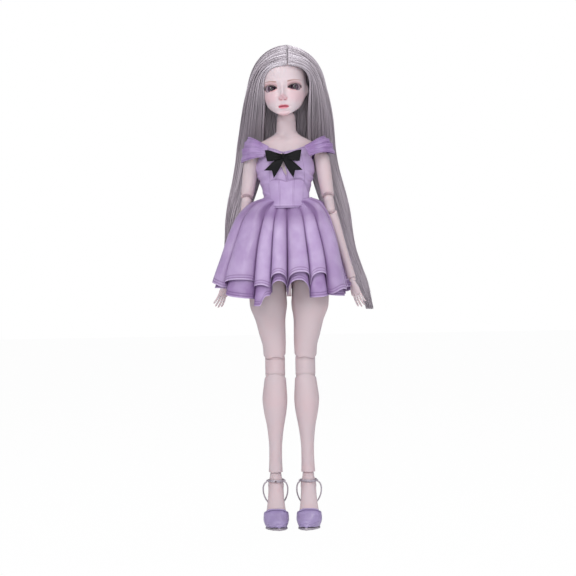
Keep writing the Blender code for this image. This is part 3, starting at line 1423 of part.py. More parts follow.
def build_dress(satin, shade, black, bodies):
    """Bodice, cap sleeves, the pleated skirt over its ruffle, and the bow."""
    chest = bodies["chest"]
    inner = torso_sheet_rows(bodice_edges, BODICE_EASE, TORSO_SIDES)
    outer = torso_sheet_rows(bodice_edges, BODICE_EASE + CLOTH_THICKNESS, TORSO_SIDES)
    sheet("bodice", outer, inner, True, satin, chest)
    for side_name, sign in SIDES.items():
        grids = ([], [])
        for height, wide, deep, lean in SLEEVE_SHARES:
            centre = SHOULDER_SPACING + SLEEVE_OUTSET + SHOULDER_BALL_RADIUS * lean
            for grid, grow in zip(grids, (CLOTH_THICKNESS, 0.0)):
                half = SHOULDER_BALL_RADIUS * wide + grow
                depth = SHOULDER_BALL_RADIUS * deep + grow
                grid.append([
                    Vector((sign * (centre + half * math.cos(a)), ARM_SETBACK + depth * math.sin(a),
                            torso_height(height)))
                    for a in np.radians(np.linspace(-SLEEVE_WRAP_DEG, SLEEVE_WRAP_DEG, SLEEVE_COLUMNS))
                ])
        sheet("sleeve_" + side_name, grids[0], grids[1], False, shade, chest)
    pelvis = bodies["pelvis"]
    for name, rows, dent_share, finish in (
        ("skirt_outer", SKIRT_SHARES, 1.0, satin),
        ("skirt_under", RUFFLE_SHARES, RUFFLE_DENT_SHARE, shade),
    ):
        outer, inner = [], []
        for height, wide, deep, pleat in rows:
            for grid, grow in ((outer, 0.0), (inner, -CLOTH_THICKNESS)):
                grid.append([
                    skirt_point(column, torso_height(height), TORSO_HALF_WIDTH * wide + grow,
                                TORSO_HALF_DEPTH * deep + grow, pleat, dent_share)
                    for column in range(SKIRT_COLUMNS)
                ])
        sheet(name, outer, inner, True, finish, pelvis)
    build_bow(black, chest)


def skirt_point(column, height, wide, deep, pleat, dent_share):
    """One point of the skirt: an oval, waved by the pleats and dented round each arm."""
    turn = math.tau * column / SKIRT_COLUMNS
    half_turn = math.pi
    wave = PLEAT_DEPTH * pleat * math.cos(PLEAT_COUNT * turn + math.radians(PLEAT_PHASE_DEG))
    share = dent_share * pleat * PLEAT_DEPTH
    dent = 0.0
    for place_deg, depth in zip(ARM_DENT_DEG, ARM_DENT_SHARES):
        away = (turn - math.radians(place_deg) + half_turn) % math.tau - half_turn
        dent += depth * share * math.exp(-(away / math.radians(ARM_DENT_SPREAD_DEG)) ** 2)
    return Vector((
        (wide + wave + dent) * math.cos(turn),
        TORSO_SETBACK + (deep + wave) * math.sin(turn),
        height,
    ))


def build_bow(black, body):
    """The bow: two loops drawn in at a knot, with two tails that hang from it."""
    front = torso_ring(BOW_HEIGHT, BODICE_EASE + CLOTH_THICKNESS + SEAM_GAP)
    face = min(point.y for point in front)
    rings = []
    for wide, tall, deep in BOW_SHARES:
        rings.append([
            Vector((BOW_HALF_WIDTH * wide, face - BOW_DEPTH + BOW_DEPTH * deep * math.sin(a),
                    BOW_HEIGHT + BOW_HALF_HEIGHT * tall * math.cos(a)))
            for a in (math.tau * step / BOW_SIDES for step in range(BOW_SIDES))
        ])
    bow = stack("bow", rings, black, body)
    for sign in SIDES.values():
        rings = []
        for share in (0.0, 1.0):
            for_x = sign * BOW_TAIL_SPREAD * share
            half = BOW_TAIL_WIDTH * (BOW_TAIL_TAPER_SHARE + (1.0 - BOW_TAIL_TAPER_SHARE) * share)
            z = BOW_HEIGHT - BOW_TAIL_LENGTH * share
            rings.append([
                Vector((for_x + half * x, face - BOW_DEPTH + BOW_TAIL_THICKNESS * y, z))
                for x, y in ((-1.0, -1.0), (1.0, -1.0), (1.0, 1.0), (-1.0, 1.0))
            ])
        fuse(bow, stack("bow_tail", rings))


# Elastic

def build_elastics(elastic, bodies):
    """The arm elastic from hand to hand, and the leg elastic over the head hook."""
    left, right = arm_points(1.0), arm_points(-1.0)
    ends = []
    for points in (left, right):
        lower, wrist = points[2:]
        up = (lower - wrist).normalized()
        ends.append(wrist + up * (2 * WRIST_CURL + HOOK_SHANK + WRIST_CURL + WRIST_WIRE + ARM_ELASTIC))
    behind = Vector((0.0, ARM_ELASTIC_SETBACK, SHOULDER_HEIGHT))
    route = [ends[0], *reversed(left[:3]), behind, *right[:3], ends[1]]
    wire("arm_elastic", densify(route), ARM_ELASTIC, elastic, bodies["chest"], 0)
    left, right = leg_points(1.0), leg_points(-1.0)
    ends = []
    for points in (left, right):
        lower, ankle = points[2:]
        up = (lower - ankle).normalized()
        ends.append(ankle + up * (2 * ANKLE_CURL + HOOK_SHANK + ANKLE_CURL + ANKLE_WIRE + LEG_ELASTIC))
    crest = HEAD_HOOK_FOOT_HEIGHT - HEAD_HOOK_CURL + HEAD_HOOK_WIRE + SEAM_GAP + LEG_ELASTIC
    top = Vector((0.0, TORSO_SETBACK, crest - LEG_LOOP_RADIUS))
    over = [
        top + Vector((0.0, -LEG_LOOP_RADIUS * math.cos(a), LEG_LOOP_RADIUS * math.sin(a)))
        for a in np.radians(LEG_LOOP_DEG)
    ]
    waist = Vector((0.0, TORSO_SETBACK, PELVIS_SEAM_HEIGHT - WAIST_PLUG_DEPTH))
    spread = Vector((LEG_ELASTIC * 2, 0.0, 0.0))
    route = [ends[0], *reversed(left[:3]), waist + spread, *over, waist - spread, *right[:3], ends[1]]
    wire("leg_elastic", densify(route), LEG_ELASTIC, elastic, bodies["pelvis"], 0)


def densify(route):
    """Round a route's corners with a point before and after each of them."""
    points = [route[0]]
    for before, here, after in zip(route, route[1:], route[2:]):
        points.append(here.lerp(before, CORNER_SHARE))
        points.append(here.lerp(after, CORNER_SHARE))
    points.append(route[-1])
    return points


def build_bodies():
    """The empties of the moving bodies, each on its joint, nested as the doll is strung."""
    neck = Vector((0.0, TORSO_SETBACK, NECK_BALL_HEIGHT))
    bodies = {"pelvis": joint_empty("pelvis_frame", (0.0, TORSO_SETBACK, HIP_HEIGHT))}
    waist = (0.0, TORSO_SETBACK, PELVIS_SEAM_HEIGHT)
    bodies["abdomen"] = joint_empty("waist_turn", waist, bodies["pelvis"])
    bend = (0.0, TORSO_SETBACK, CHEST_BEND_HEIGHT)
    bodies["chest"] = joint_empty("chest_bend", bend, bodies["abdomen"])
    bodies["head_hook"] = joint_empty("head_turn", neck, bodies["chest"])
    bodies["head"] = joint_empty("head_nod", neck, bodies["head_hook"])
    for side_name, sign in SIDES.items():
        chains = (
            ("chest", arm_points(sign), ARM_CHAIN, ARM_JOINTS),
            ("pelvis", leg_points(sign), LEG_CHAIN, LEG_JOINTS),
        )
        for parent, points, chain, joints in chains:
            places = (points[0], points[0], points[1], points[2], points[3], points[3])
            for piece, joint, point in zip(chain, joints, places):
                name = piece + "_" + side_name
                bodies[name] = joint_empty(joint + "_" + side_name, point, bodies[parent])
                parent = name
    return bodies


def main():
    """Build the doll from the skeleton of joints outwards."""
    clear_scene()
    skin = material("skin_resin", (0.62, 0.52, 0.55), 0.45)
    steel = material("hook_steel", (0.60, 0.60, 0.62), 0.30, 1.0)
    glass = material("eye_glass", (0.16, 0.08, 0.10), 0.10)
    hair = material("silver_hair", (0.48, 0.44, 0.50), 0.35)
    cap_cloth = material("wig_cap_net", (0.55, 0.50, 0.56), 0.80)
    satin = material("lilac_satin", (0.42, 0.29, 0.55), 0.35)
    shade = material("lilac_lining", (0.33, 0.21, 0.45), 0.45)
    black = material("black_satin", (0.02, 0.02, 0.025), 0.40)
    lilac = material("shoe_lilac", (0.36, 0.27, 0.50), 0.55)
    silver = material("shoe_silver", (0.55, 0.52, 0.57), 0.35)
    elastic = material("white_elastic", (0.75, 0.75, 0.72), 0.85)
    bodies = build_bodies()
    build_pelvis(skin, bodies["pelvis"])
    build_abdomen(skin, bodies["abdomen"])
    build_chest(skin, bodies["chest"])
    for side_name, sign in SIDES.items():
        build_leg(side_name, sign, skin, bodies)
        build_foot(side_name, sign, skin, steel, bodies)
        build_shoe(side_name, sign, lilac, silver, bodies)
        build_arm(side_name, sign, skin, bodies)
        build_hand(side_name, sign, skin, steel, bodies)
    build_head(skin, glass, bodies)
    build_head_hook(steel, bodies)
    build_hair(hair, cap_cloth, bodies)
    build_dress(satin, shade, black, bodies)
    build_elastics(elastic, bodies)


main()
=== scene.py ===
"""Ball jointed doll in a lilac satin dress and heeled shoes: the finished surfaces.

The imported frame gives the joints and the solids. Each class below builds one sub-assembly
of the doll over it, in metres, +Z up, the doll facing -Y with +X its own left.
"""
import json
import logging
import math
from collections.abc import Sequence
from dataclasses import dataclass, field
from enum import Enum

import bmesh
import bpy
import numpy as np
from mathutils import Matrix, Vector


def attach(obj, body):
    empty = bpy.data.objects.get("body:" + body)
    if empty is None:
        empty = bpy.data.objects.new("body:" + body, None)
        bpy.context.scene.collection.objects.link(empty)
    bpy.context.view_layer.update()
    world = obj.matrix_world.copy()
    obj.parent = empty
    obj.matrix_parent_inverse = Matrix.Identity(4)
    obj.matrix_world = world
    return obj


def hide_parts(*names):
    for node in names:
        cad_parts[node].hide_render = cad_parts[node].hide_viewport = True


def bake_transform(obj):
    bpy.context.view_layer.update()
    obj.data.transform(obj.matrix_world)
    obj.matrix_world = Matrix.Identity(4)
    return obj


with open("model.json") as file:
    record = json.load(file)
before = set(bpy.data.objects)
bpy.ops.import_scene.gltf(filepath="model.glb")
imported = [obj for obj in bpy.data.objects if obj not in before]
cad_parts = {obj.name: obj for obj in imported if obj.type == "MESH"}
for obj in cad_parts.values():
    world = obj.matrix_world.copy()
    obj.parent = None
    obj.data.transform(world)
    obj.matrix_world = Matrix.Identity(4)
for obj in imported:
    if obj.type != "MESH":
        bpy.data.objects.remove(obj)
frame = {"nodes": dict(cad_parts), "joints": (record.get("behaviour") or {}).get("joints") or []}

LOG = logging.getLogger("doll")
Array = np.ndarray


class Side(Enum):
    """The doll's own left or right, with the sign of X there."""

    LEFT = 1.0
    RIGHT = -1.0

    @property
    def word(self) -> str:
        """The side's ending in the names of the frame."""
        return "left" if self is Side.LEFT else "right"


# Meshes from grids of points


def joint_point(name: str) -> Array:
    """Where a joint of the frame lies at rest.

    Args:
        name: The joint's name in the record.

    Returns:
        The point, as three metres.
    """
    return np.array(next(j["pos_m"] for j in frame["joints"] if j["name"] == name))


def ease(x: Array | float) -> Array:
    """Smoothstep: three x squared less two x cubed, held between 0 and 1."""
    t = np.clip(x, 0.0, 1.0)
    return t * t * (3.0 - 2.0 * t)


def bump(x: Array | float, centre: float, spread: float) -> Array:
    """A bell: e to the minus square of the distance from centre over spread."""
    return np.exp(-(((x - centre) / spread) ** 2))


def spline(knots: Sequence[float], values: Array, at: Array) -> Array:
    """Cubic Hermite curve through the values, with each knot's slope the mean of the two
    slopes beside it, cut where they disagree in sign so that it never overshoots.

    Args:
        knots: Rising places of the values.
        values: One row for each knot.
        at: Places to read.

    Returns:
        One row for each place.
    """
    k = np.asarray(knots, float)
    v = np.asarray(values, float).reshape(len(k), -1)
    rise = np.diff(v, axis=0) / np.diff(k)[:, None]
    slope = np.vstack([rise[:1], (rise[:-1] + rise[1:]) / 2.0, rise[-1:]])
    calm = rise[:-1] * rise[1:] <= 0.0
    slope[1:-1][calm] = 0.0
    limit = 3.0 * np.minimum(np.abs(rise[:-1]), np.abs(rise[1:]))
    slope[1:-1] = np.clip(slope[1:-1], -limit, limit)
    x = np.clip(at, k[0], k[-1])
    i = np.clip(np.searchsorted(k, x, side="right") - 1, 0, len(k) - 2)
    width = (k[i + 1] - k[i])[:, None]
    t = ((x - k[i]) / (k[i + 1] - k[i]))[:, None]
    a = (2 * t**3 - 3 * t**2 + 1) * v[i] + (t**3 - 2 * t**2 + t) * width * slope[i]
    return a + (-2 * t**3 + 3 * t**2) * v[i + 1] + (t**3 - t**2) * width * slope[i + 1]


def turns(count: int) -> Array:
    """Evenly spaced angles of one full turn, without the last."""
    return np.linspace(0.0, math.tau, count, endpoint=False)


def xyz(x: Array | float, y: Array | float, z: Array | float) -> Array:
    """Points from three coordinates, spread over one another's rows and columns."""
    return np.stack(np.broadcast_arrays(x, y, z), -1)


def boxed(x: Array, power: Array | float) -> Array:
    """A sine or cosine raised to a power below 1, which makes its oval boxy."""
    return np.sign(x) * np.abs(x) ** power


def unit(vectors: Array) -> Array:
    """Vectors shortened or stretched to a length of 1."""
    return vectors / np.maximum(np.linalg.norm(vectors, axis=-1, keepdims=True), 1e-12)


def link(name: str, data: bpy.types.ID) -> bpy.types.Object:
    """Put a new object with its data into the scene."""
    made = bpy.data.objects.new(name, data)
    bpy.context.scene.collection.objects.link(made)
    return made


def grid_faces(rows: int, columns: int, closed: bool) -> Array:
    """Quads of a grid of points, row by row.

    Args:
        rows: Rows of points.
        columns: Points in a row.
        closed: Whether the last column joins the first.

    Returns:
        Four point numbers for each quad.
    """
    step = np.arange(columns if closed else columns - 1)
    beside = (step + 1) % columns
    start = np.arange(rows - 1)[:, None] * columns
    quads = [start + step, start + beside, start + beside + columns, start + step + columns]
    return np.stack(quads, -1).reshape(-1, 4)


def add_mesh(name: str, points: Array, faces: list, smooth: bool = True) -> bpy.types.Object:
    """A mesh object at the origin with its place in its points.

    Args:
        name: The piece's name.
        points: Its points, in metres.
        faces: Lists of point numbers.
        smooth: Whether it is shaded smooth.

    Returns:
        The object.
    """
    mesh = bpy.data.meshes.new(name)
    mesh.from_pydata(points.reshape(-1, 3), [], faces)
    mesh.polygons.foreach_set("use_smooth", np.full(len(mesh.polygons), smooth))
    mesh.update()
    return link(name, mesh)


def write_uv(piece: bpy.types.Object, uv: Array, name: str = "weave") -> None:
    """Give each point of a piece one place in a flat map.

    Args:
        piece: The mesh object.
        uv: Two numbers for each point, in metres.
        name: The map's name.
    """
    mesh = piece.data
    layer = mesh.uv_layers.new(name=name)
    corners = np.empty(len(mesh.loops), np.int32)
    mesh.loops.foreach_get("vertex_index", corners)
    layer.data.foreach_set("uv", uv.reshape(-1, 2)[corners].ravel().astype(np.float32))


def write_shade(piece: bpy.types.Object, name: str, values: Array) -> None:
    """Give each point of a piece one number, such as a mask.

    Args:
        piece: The mesh object.
        name: The attribute's name.
        values: One number for each point.
    """
    layer = piece.data.attributes.new(name, "FLOAT", "POINT")
    layer.data.foreach_set("value", values.ravel().astype(np.float32))


def write_paint(piece: bpy.types.Object, name: str, colours: Array) -> None:
    """Give each point of a piece a colour.

    Args:
        piece: The mesh object.
        name: The attribute's name.
        colours: Red, green and blue for each point.
    """
    flat = colours.reshape(-1, 3)
    layer = piece.data.color_attributes.new(name, "FLOAT_COLOR", "POINT")
    full = np.hstack([flat, np.ones((len(flat), 1))])
    layer.data.foreach_set("color", full.ravel().astype(np.float32))


def skin(name: str, grid: Array, closed: bool = True, caps: bool = True) -> bpy.types.Object:
    """A mesh over a grid of points, with each end of a closed one filled by a fan.

    Args:
        name: The piece's name.
        grid: Rows by columns of points.
        closed: Whether rows are rings.
        caps: Whether the first and last ring are filled.

    Returns:
        The object.
    """
    rows, columns = grid.shape[:2]
    points = grid.reshape(-1, 3)
    faces = grid_faces(rows, columns, closed).tolist()
    if closed and caps:
        ends = np.array([grid[0].mean(axis=0), grid[-1].mean(axis=0)])
        points = np.vstack([points, ends])
        step = np.arange(columns)
        beside = (step + 1) % columns
        first, last = rows * columns, rows * columns + 1
        top = (rows - 1) * columns
        faces += np.stack([beside, step, np.full(columns, first)], -1).tolist()
        faces += np.stack([top + step, top + beside, np.full(columns, last)], -1).tolist()
    return outward(add_mesh(name, points, faces))


def outward(piece: bpy.types.Object) -> bpy.types.Object:
    """Turn a closed piece's faces outwards: they are flipped when the volume under them, the
    sum of each triangle's corner products over six, is negative."""
    mesh = piece.data
    mesh.calc_loop_triangles()
    points = np.empty(len(mesh.vertices) * 3)
    mesh.vertices.foreach_get("co", points)
    corners = np.empty(len(mesh.loop_triangles) * 3, np.int32)
    mesh.loop_triangles.foreach_get("vertices", corners)
    a, b, c = points.reshape(-1, 3)[corners.reshape(-1, 3)].transpose(1, 0, 2)
    if np.einsum("ij,ij->i", a, np.cross(b, c)).sum() < 0.0:
        mesh.flip_normals()
    return piece


def cloth(
    name: str, grid: Array, thickness: float, closed: bool, uv: Array | None = None
) -> bpy.types.Object:
    """A thin sheet of two faces: the grid, and the grid moved back along its normals, with
    its edges closed. A point's normal is the cross product of the grid's two slopes.

    Args:
        name: The piece's name.
        grid: Rows by columns of points of the outer face.
        thickness: How thick the cloth is.
        closed: Whether rows are rings.
        uv: The flat place of each point.

    Returns:
        The object, with a number "inside" that is 1 on the back face.
    """
    rows, columns = grid.shape[:2]
    down = np.gradient(grid, axis=0)
    if closed:
        along = (np.roll(grid, -1, axis=1) - np.roll(grid, 1, axis=1)) / 2.0
    else:
        along = np.gradient(grid, axis=1)
    normal = unit(np.cross(along, down))
    centre = grid.mean(axis=(0, 1))
    if np.einsum("rck,rck->", normal, grid - centre) < 0.0:
        normal = -normal
    both = np.vstack([grid.reshape(-1, 3), (grid - normal * thickness).reshape(-1, 3)])
    front = grid_faces(rows, columns, closed)
    back = front[:, ::-1] + rows * columns
    far = rows * columns
    steps = np.arange(columns if closed else columns - 1)
    beside = (steps + 1) % columns
    top = (rows - 1) * columns
    rim = [
        np.stack([steps + far, beside + far, beside, steps], -1),
        np.stack([top + steps, top + beside, top + beside + far, top + steps + far], -1),
    ]
    if not closed:
        level = np.arange(rows - 1) * columns
        rim.append(np.stack([level, level + columns, level + columns + far, level + far], -1))
        level = level + columns - 1
        rim.append(np.stack([level + far, level + columns + far, level + columns, level], -1))
    piece = outward(add_mesh(name, both, np.vstack([front, back, *rim]).tolist()))
    write_shade(piece, "inside", np.repeat([0.0, 1.0], rows * columns))
    if uv is not None:
        write_uv(piece, np.vstack([uv.reshape(-1, 2)] * 2))
    return piece


def tubes(
    name: str, paths: Array, wide: Array, thin: Array, sides: int, outward_from: Array
) -> bpy.types.Object:
    """Many tapered tubes of oval section in one mesh. Each ring's first axis is square to
    the path and to the line from a middle axis; its second axis is square to both.

    Args:
        name: The piece's name.
        paths: Tubes by points by three.
        wide: Half width of each ring, tubes by points.
        thin: Half thickness of each ring, tubes by points.
        sides: Points in a ring.
        outward_from: The point, or a point for each ring, that the flat side faces away from.

    Returns:
        The object.
    """
    count, steps = paths.shape[:2]
    along = unit(np.gradient(paths, axis=1))
    away = paths - outward_from
    away = unit(away - (away * along).sum(axis=-1, keepdims=True) * along)
    across = np.cross(along, away)
    angle = turns(sides)
    ring = (
        across[:, :, None, :] * (np.cos(angle)[:, None] * wide[:, :, None, None])
        + away[:, :, None, :] * (np.sin(angle)[:, None] * thin[:, :, None, None])
    )
    points = (paths[:, :, None, :] + ring).reshape(count, -1, 3)
    faces = grid_faces(steps, sides, True)
    offset = (np.arange(count) * steps * sides)[:, None, None]
    quads = (faces[None] + offset).reshape(-1, 4)
    ends = []
    for first, order in ((0, slice(None, None, -1)), ((steps - 1) * sides, slice(None))):
        loop = (np.arange(sides) + first)[order]
        ends += (loop[None] + offset[:, 0]).tolist()
    return outward(add_mesh(name, points.reshape(-1, 3), quads.tolist() + ends))


def frame_along(direction: Array) -> tuple[Array, Array, Array]:
    """A limb's own directions: along it, and the two square to it, as the frame's solids
    have them.

    Args:
        direction: The way that the limb points.

    Returns:
        Along, sideways (towards -X on a limb that hangs) and backwards.
    """
    along = direction / np.linalg.norm(direction)
    side = np.cross(np.array([0.0, 1.0, 0.0]), along)
    side /= np.linalg.norm(side)
    return along, side, np.cross(along, side)


@dataclass(frozen=True)
class Bend:
    """The two bodies and heights for cloth or hair that crosses a joint: one body up to a height, another
    from a greater height on. Nothing reads them; a piece given one is baked in place."""

    below: str
    above: str
    start: float
    end: float


def finish_piece(
    piece: bpy.types.Object, finish: bpy.types.Material, body: str | Bend, slot: str, *nodes: str
) -> bpy.types.Object:
    """Dress a piece, let it ride on a body unless it is given a bend, and let it stand for nodes of the
    frame.

    Args:
        piece: The object.
        finish: Its material.
        body: The frame's body that carries it, or a bend between two bodies, in which case the piece is only
            baked in place.
        slot: The record's material slot; not used.
        *nodes: Nodes of the frame that it replaces.

    Returns:
        The object.
    """
    piece.data.materials.clear()
    piece.data.materials.append(finish)
    if isinstance(body, Bend):
        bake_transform(piece)
    else:
        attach(piece, body)
    if nodes:
        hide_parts(*nodes)
    LOG.info("%s: %d points on %s", piece.name, len(piece.data.vertices), body)
    return piece


def cast(grid: Array, finish: bpy.types.Material, name: str) -> bpy.types.Object:
    """A resin piece over a grid, on the body and in place of the node of its name."""
    return finish_piece(skin(f"{name}_resin", grid), finish, name, "skin_resin", name)


def trim(piece: bpy.types.Object, uv: Array) -> None:
    """Give a trimming of cloth its flat map, and no back, stitch, painted fold shade or painted rim
    highlight.
    """
    for key in ("inside", "stitch", "painted_fold_shade", "rim"):
        write_shade(piece, key, np.zeros(len(uv)))
    write_uv(piece, uv)


# Shaders


class Graph:
    """A material's node tree, with its Principled shader."""

    def __init__(self, name: str) -> None:
        self.material = bpy.data.materials.new(name)
        self.material.use_nodes = True
        self.tree = self.material.node_tree
        self.shader = self.tree.nodes["Principled BSDF"]

    def node(
        self, kind: str, output: str | int = 0, settings: dict | None = None, **inputs: object
    ) -> "Wire":
        """Add a node and give back one of its outputs.

        Args:
            kind: The node's type.
            output: The output's name or place.
            settings: The node's own properties.
            **inputs: Values or wires by input name, with _ for a space.

        Returns:
            The output as a wire.
        """
        made = self.tree.nodes.new(kind)
        for key, value in (settings or {}).items():
            setattr(made, key, value)
        for key, value in inputs.items():
            self.join(made.inputs[key.replace("_", " ")], value)
        return Wire(self, made.outputs[output])

    def join(self, socket: bpy.types.NodeSocket, value: object) -> None:
        """Link a wire to a socket, or set a constant on it."""
        if isinstance(value, Wire):
            self.tree.links.new(value.socket, socket)
        else:
            socket.default_value = value

    def sum(self, operation: str, *values: object) -> "Wire":
        """A maths node of numbers or wires."""
        made = self.tree.nodes.new("ShaderNodeMath")
        made.operation = operation
        for place, value in enumerate(values):
            self.join(made.inputs[place], value)
        return Wire(self, made.outputs[0])

    def mix(self, share: object, first: object, second: object) -> "Wire":
        """A colour between two colours.

        Args:
            share: How far it lies towards the second.
            first: Colour or wire.
            second: Colour or wire.

        Returns:
            The mixed colour.
        """
        made = self.tree.nodes.new("ShaderNodeMix")
        made.data_type = "RGBA"
        for place, value in ((0, share), (6, first), (7, second)):
            self.join(made.inputs[place], value)
        return Wire(self, made.outputs[2])

    def place(self) -> "Wire":
        """The point in the object's own metres."""
        return self.node("ShaderNodeTexCoord", "Object")

    def flat(self) -> tuple["Wire", "Wire"]:
        """The two numbers of the cloth's flat map."""
        across, down, _ = self.split(self.node("ShaderNodeUVMap", settings={"uv_map": "weave"}))
        return across, down

    def split(self, vector: "Wire") -> list["Wire"]:
        """The X, Y and Z of a vector."""
        made = self.tree.nodes.new("ShaderNodeSeparateXYZ")
        self.join(made.inputs[0], vector)
        return [Wire(self, output) for output in made.outputs]

    def number(self, name: str) -> "Wire":
        """A number that the mesh carries for each point."""
        return self.node("ShaderNodeAttribute", "Fac", {"attribute_name": name})

    def paint(self, name: str) -> "Wire":
        """A colour that the mesh carries for each point."""
        return self.node("ShaderNodeAttribute", "Color", {"attribute_name": name})

    def noise(self, scale: float, detail: float = 3.0, place: object = None) -> "Wire":
        """Soft noise from 0 to 1.

        Args:
            scale: Its bumps in a metre.
            detail: Its layers of finer noise.
            place: Where it is read; the object's own metres unless given.

        Returns:
            The noise.
        """
        vector = self.place() if place is None else place
        return self.node("ShaderNodeTexNoise", "Fac", Vector=vector, Scale=scale, Detail=detail)

    def relief(self, height: object, depth: float) -> None:
        """Bump the shader by a height that is depth metres at 1."""
        self.join(self.shader.inputs["Normal"], self.node("ShaderNodeBump", Height=height, Distance=depth))

    def set(self, **inputs: object) -> None:
        """Set or link inputs of the Principled shader by name, with _ for a space."""
        for key, value in inputs.items():
            self.join(self.shader.inputs[key.replace("_", " ")], value)


@dataclass(frozen=True)
class Wire:
    """A socket's output that sums can be done with."""

    graph: Graph
    socket: bpy.types.NodeSocket

    def __add__(self, other: object) -> "Wire":
        return self.graph.sum("ADD", self, other)

    __radd__ = __add__

    def __mul__(self, other: object) -> "Wire":
        return self.graph.sum("MULTIPLY", self, other)

    def __sub__(self, other: object) -> "Wire":
        return self.graph.sum("SUBTRACT", self, other)

    def __rsub__(self, other: object) -> "Wire":
        return self.graph.sum("SUBTRACT", other, self)

    def wave(self, length: float) -> "Wire":
        """A wave from 0 to 1 that comes back after each length."""
        return self.graph.sum("SINE", self * (math.tau / length)) * 0.5 + 0.5

    def ramp(self, low: float, high: float) -> "Wire":
        """0 below low, 1 above high and a smooth rise between."""
        made = self.graph.tree.nodes.new("ShaderNodeMapRange")
        made.interpolation_type = "SMOOTHSTEP"
        for place, value in enumerate((self, low, high, 0.0, 1.0)):
            self.graph.join(made.inputs[place], value)
        return Wire(self.graph, made.outputs[0])


def linear(red: int, green: int, blue: int) -> tuple[float, float, float, float]:
    """A screen colour in the renderer's linear light: each share to the power of 2.2."""
    return ((red / 255) ** 2.2, (green / 255) ** 2.2, (blue / 255) ** 2.2, 1.0)


@dataclass(frozen=True)
class Resin:
    """Cast resin with a matt coat: soft light below the surface, a fine grain and faint
    rosy shading."""

    name: str
    colour: tuple
    flush: tuple
    roughness: float = 0.46
    painted: bool = False

    def build(self) -> bpy.types.Material:
        """Make the material."""
        graph = Graph(self.name)
        cloud = graph.noise(38.0).ramp(0.35, 0.75)
        base = graph.mix(cloud * 0.35, self.colour, self.flush)
        if self.painted:
            base = graph.mix(graph.number("makeup"), base, graph.paint("face"))
        grain = graph.noise(2600.0, 2.0)
        graph.set(
            Base_Color=base,
            Roughness=grain * 0.1 + (self.roughness - 0.05),
            Subsurface_Weight=0.14,
            Subsurface_Radius=(0.003, 0.0016, 0.0013),
            Subsurface_Scale=1.0,
            Specular_IOR_Level=0.42,
        )
        graph.relief(grain + graph.noise(420.0) * 1.5, 0.00003)
        return graph.material


@dataclass(frozen=True)
class Satin:
    """Woven satin: long shining floats along the warp, a fine weave bump, a sheen, colour
    that drifts a little along the threads, stitched lines, a painted highlight along the rim and painted
    shade in the folds."""

    name: str
    face: tuple
    back: tuple
    lift: tuple
    roughness: float = 0.32
    sheen: float = 0.12
    thread: float = 0.00034
    gloss: float = 0.55

    def build(self) -> bpy.types.Material:
        """Make the material."""
        graph = Graph(self.name)
        across, down = graph.flat()
        sewn = graph.number("stitch")
        threads = across.wave(self.thread) * down.wave(self.thread * 1.3)
        stretch = graph.node("ShaderNodeCombineXYZ", X=across * 900.0, Y=down * 60.0, Z=0.0)
        slub = graph.noise(1.0, 3.0, stretch)
        drift = graph.noise(55.0).ramp(0.3, 0.7)
        colour = graph.mix(drift * 0.4, self.face, self.lift)
        colour = graph.mix(graph.number("inside"), colour, self.back)
        stitch = sewn * across.wave(0.0016).ramp(0.25, 0.5)
        colour = graph.mix(stitch * 0.3 + sewn * 0.5, colour, self.back)
        # Painted highlight: a pale band along the turned edge, mixed towards lift.
        colour = graph.mix(graph.number("rim") * 0.9, colour, self.lift)
        colour = graph.mix(slub.ramp(0.55, 0.85) * 0.18, colour, self.lift)
        # Painted shade: darker in the folds, mixed towards the back face's colour.
        colour = graph.mix(graph.number("painted_fold_shade") * 0.72, colour, self.back)
        graph.set(
            Base_Color=colour,
            Roughness=slub * 0.16 + (self.roughness - 0.08),
            Sheen_Weight=self.sheen,
            Sheen_Roughness=0.4,
            Sheen_Tint=self.lift,
            Specular_IOR_Level=self.gloss,
            Anisotropic=0.35,
        )
        graph.relief(threads * 0.5 + slub * 0.6 - stitch * 1.6, 0.00008)
        return graph.material


@dataclass(frozen=True)
class Strands:
    """Wig fibre: each lock has its own shade, the back falls are painted lighter, and some locks carry a
    painted highlight near the parting.
    """

    name: str
    dark: tuple
    light: tuple

    def build(self) -> bpy.types.Material:
        """Make the material."""
        graph = Graph(self.name)
        tone_and_painted_light, way = graph.number("tone_and_painted_light"), graph.number("way")
        streak = graph.noise(1.0, 2.0, graph.node("ShaderNodeCombineXYZ", X=tone_and_painted_light * 90.0, Y=way * 3.0, Z=0.0))
        # Painted highlight: streaks of the locks near the parting are lightened.
        near = (0.21 - way).ramp(0.0, 0.1) * streak.ramp(0.42, 0.62)
        share = tone_and_painted_light * 0.5 + streak * 0.25 + near * 0.5
        graph.set(
            Base_Color=graph.mix(share, self.dark, self.light),
            Roughness=0.24 + streak * 0.16,
            Specular_IOR_Level=0.6,
            Sheen_Weight=0.05,
            Sheen_Roughness=0.35,
        )
        return graph.material


@dataclass(frozen=True)
class Leather:
    """Thin coated leather with a fine crease grain; a metal flake makes it silver."""

    name: str
    colour: tuple
    lift: tuple
    metal: float = 0.0
    roughness: float = 0.34

    def build(self) -> bpy.types.Material:
        """Make the material."""
        graph = Graph(self.name)
        edges = {"feature": "DISTANCE_TO_EDGE"}
        cells = graph.node("ShaderNodeTexVoronoi", "Distance", edges, Vector=graph.place(), Scale=1500.0)
        crease = cells.ramp(0.0, 0.14)
        wear = graph.noise(90.0).ramp(0.4, 0.8)
        graph.set(
            Base_Color=graph.mix(wear * 0.5, self.colour, self.lift),
            Metallic=self.metal,
            Roughness=wear * 0.14 + self.roughness,
            Coat_Weight=0.3,
            Coat_Roughness=0.25,
        )
        graph.relief(crease, 0.00005)
        return graph.material


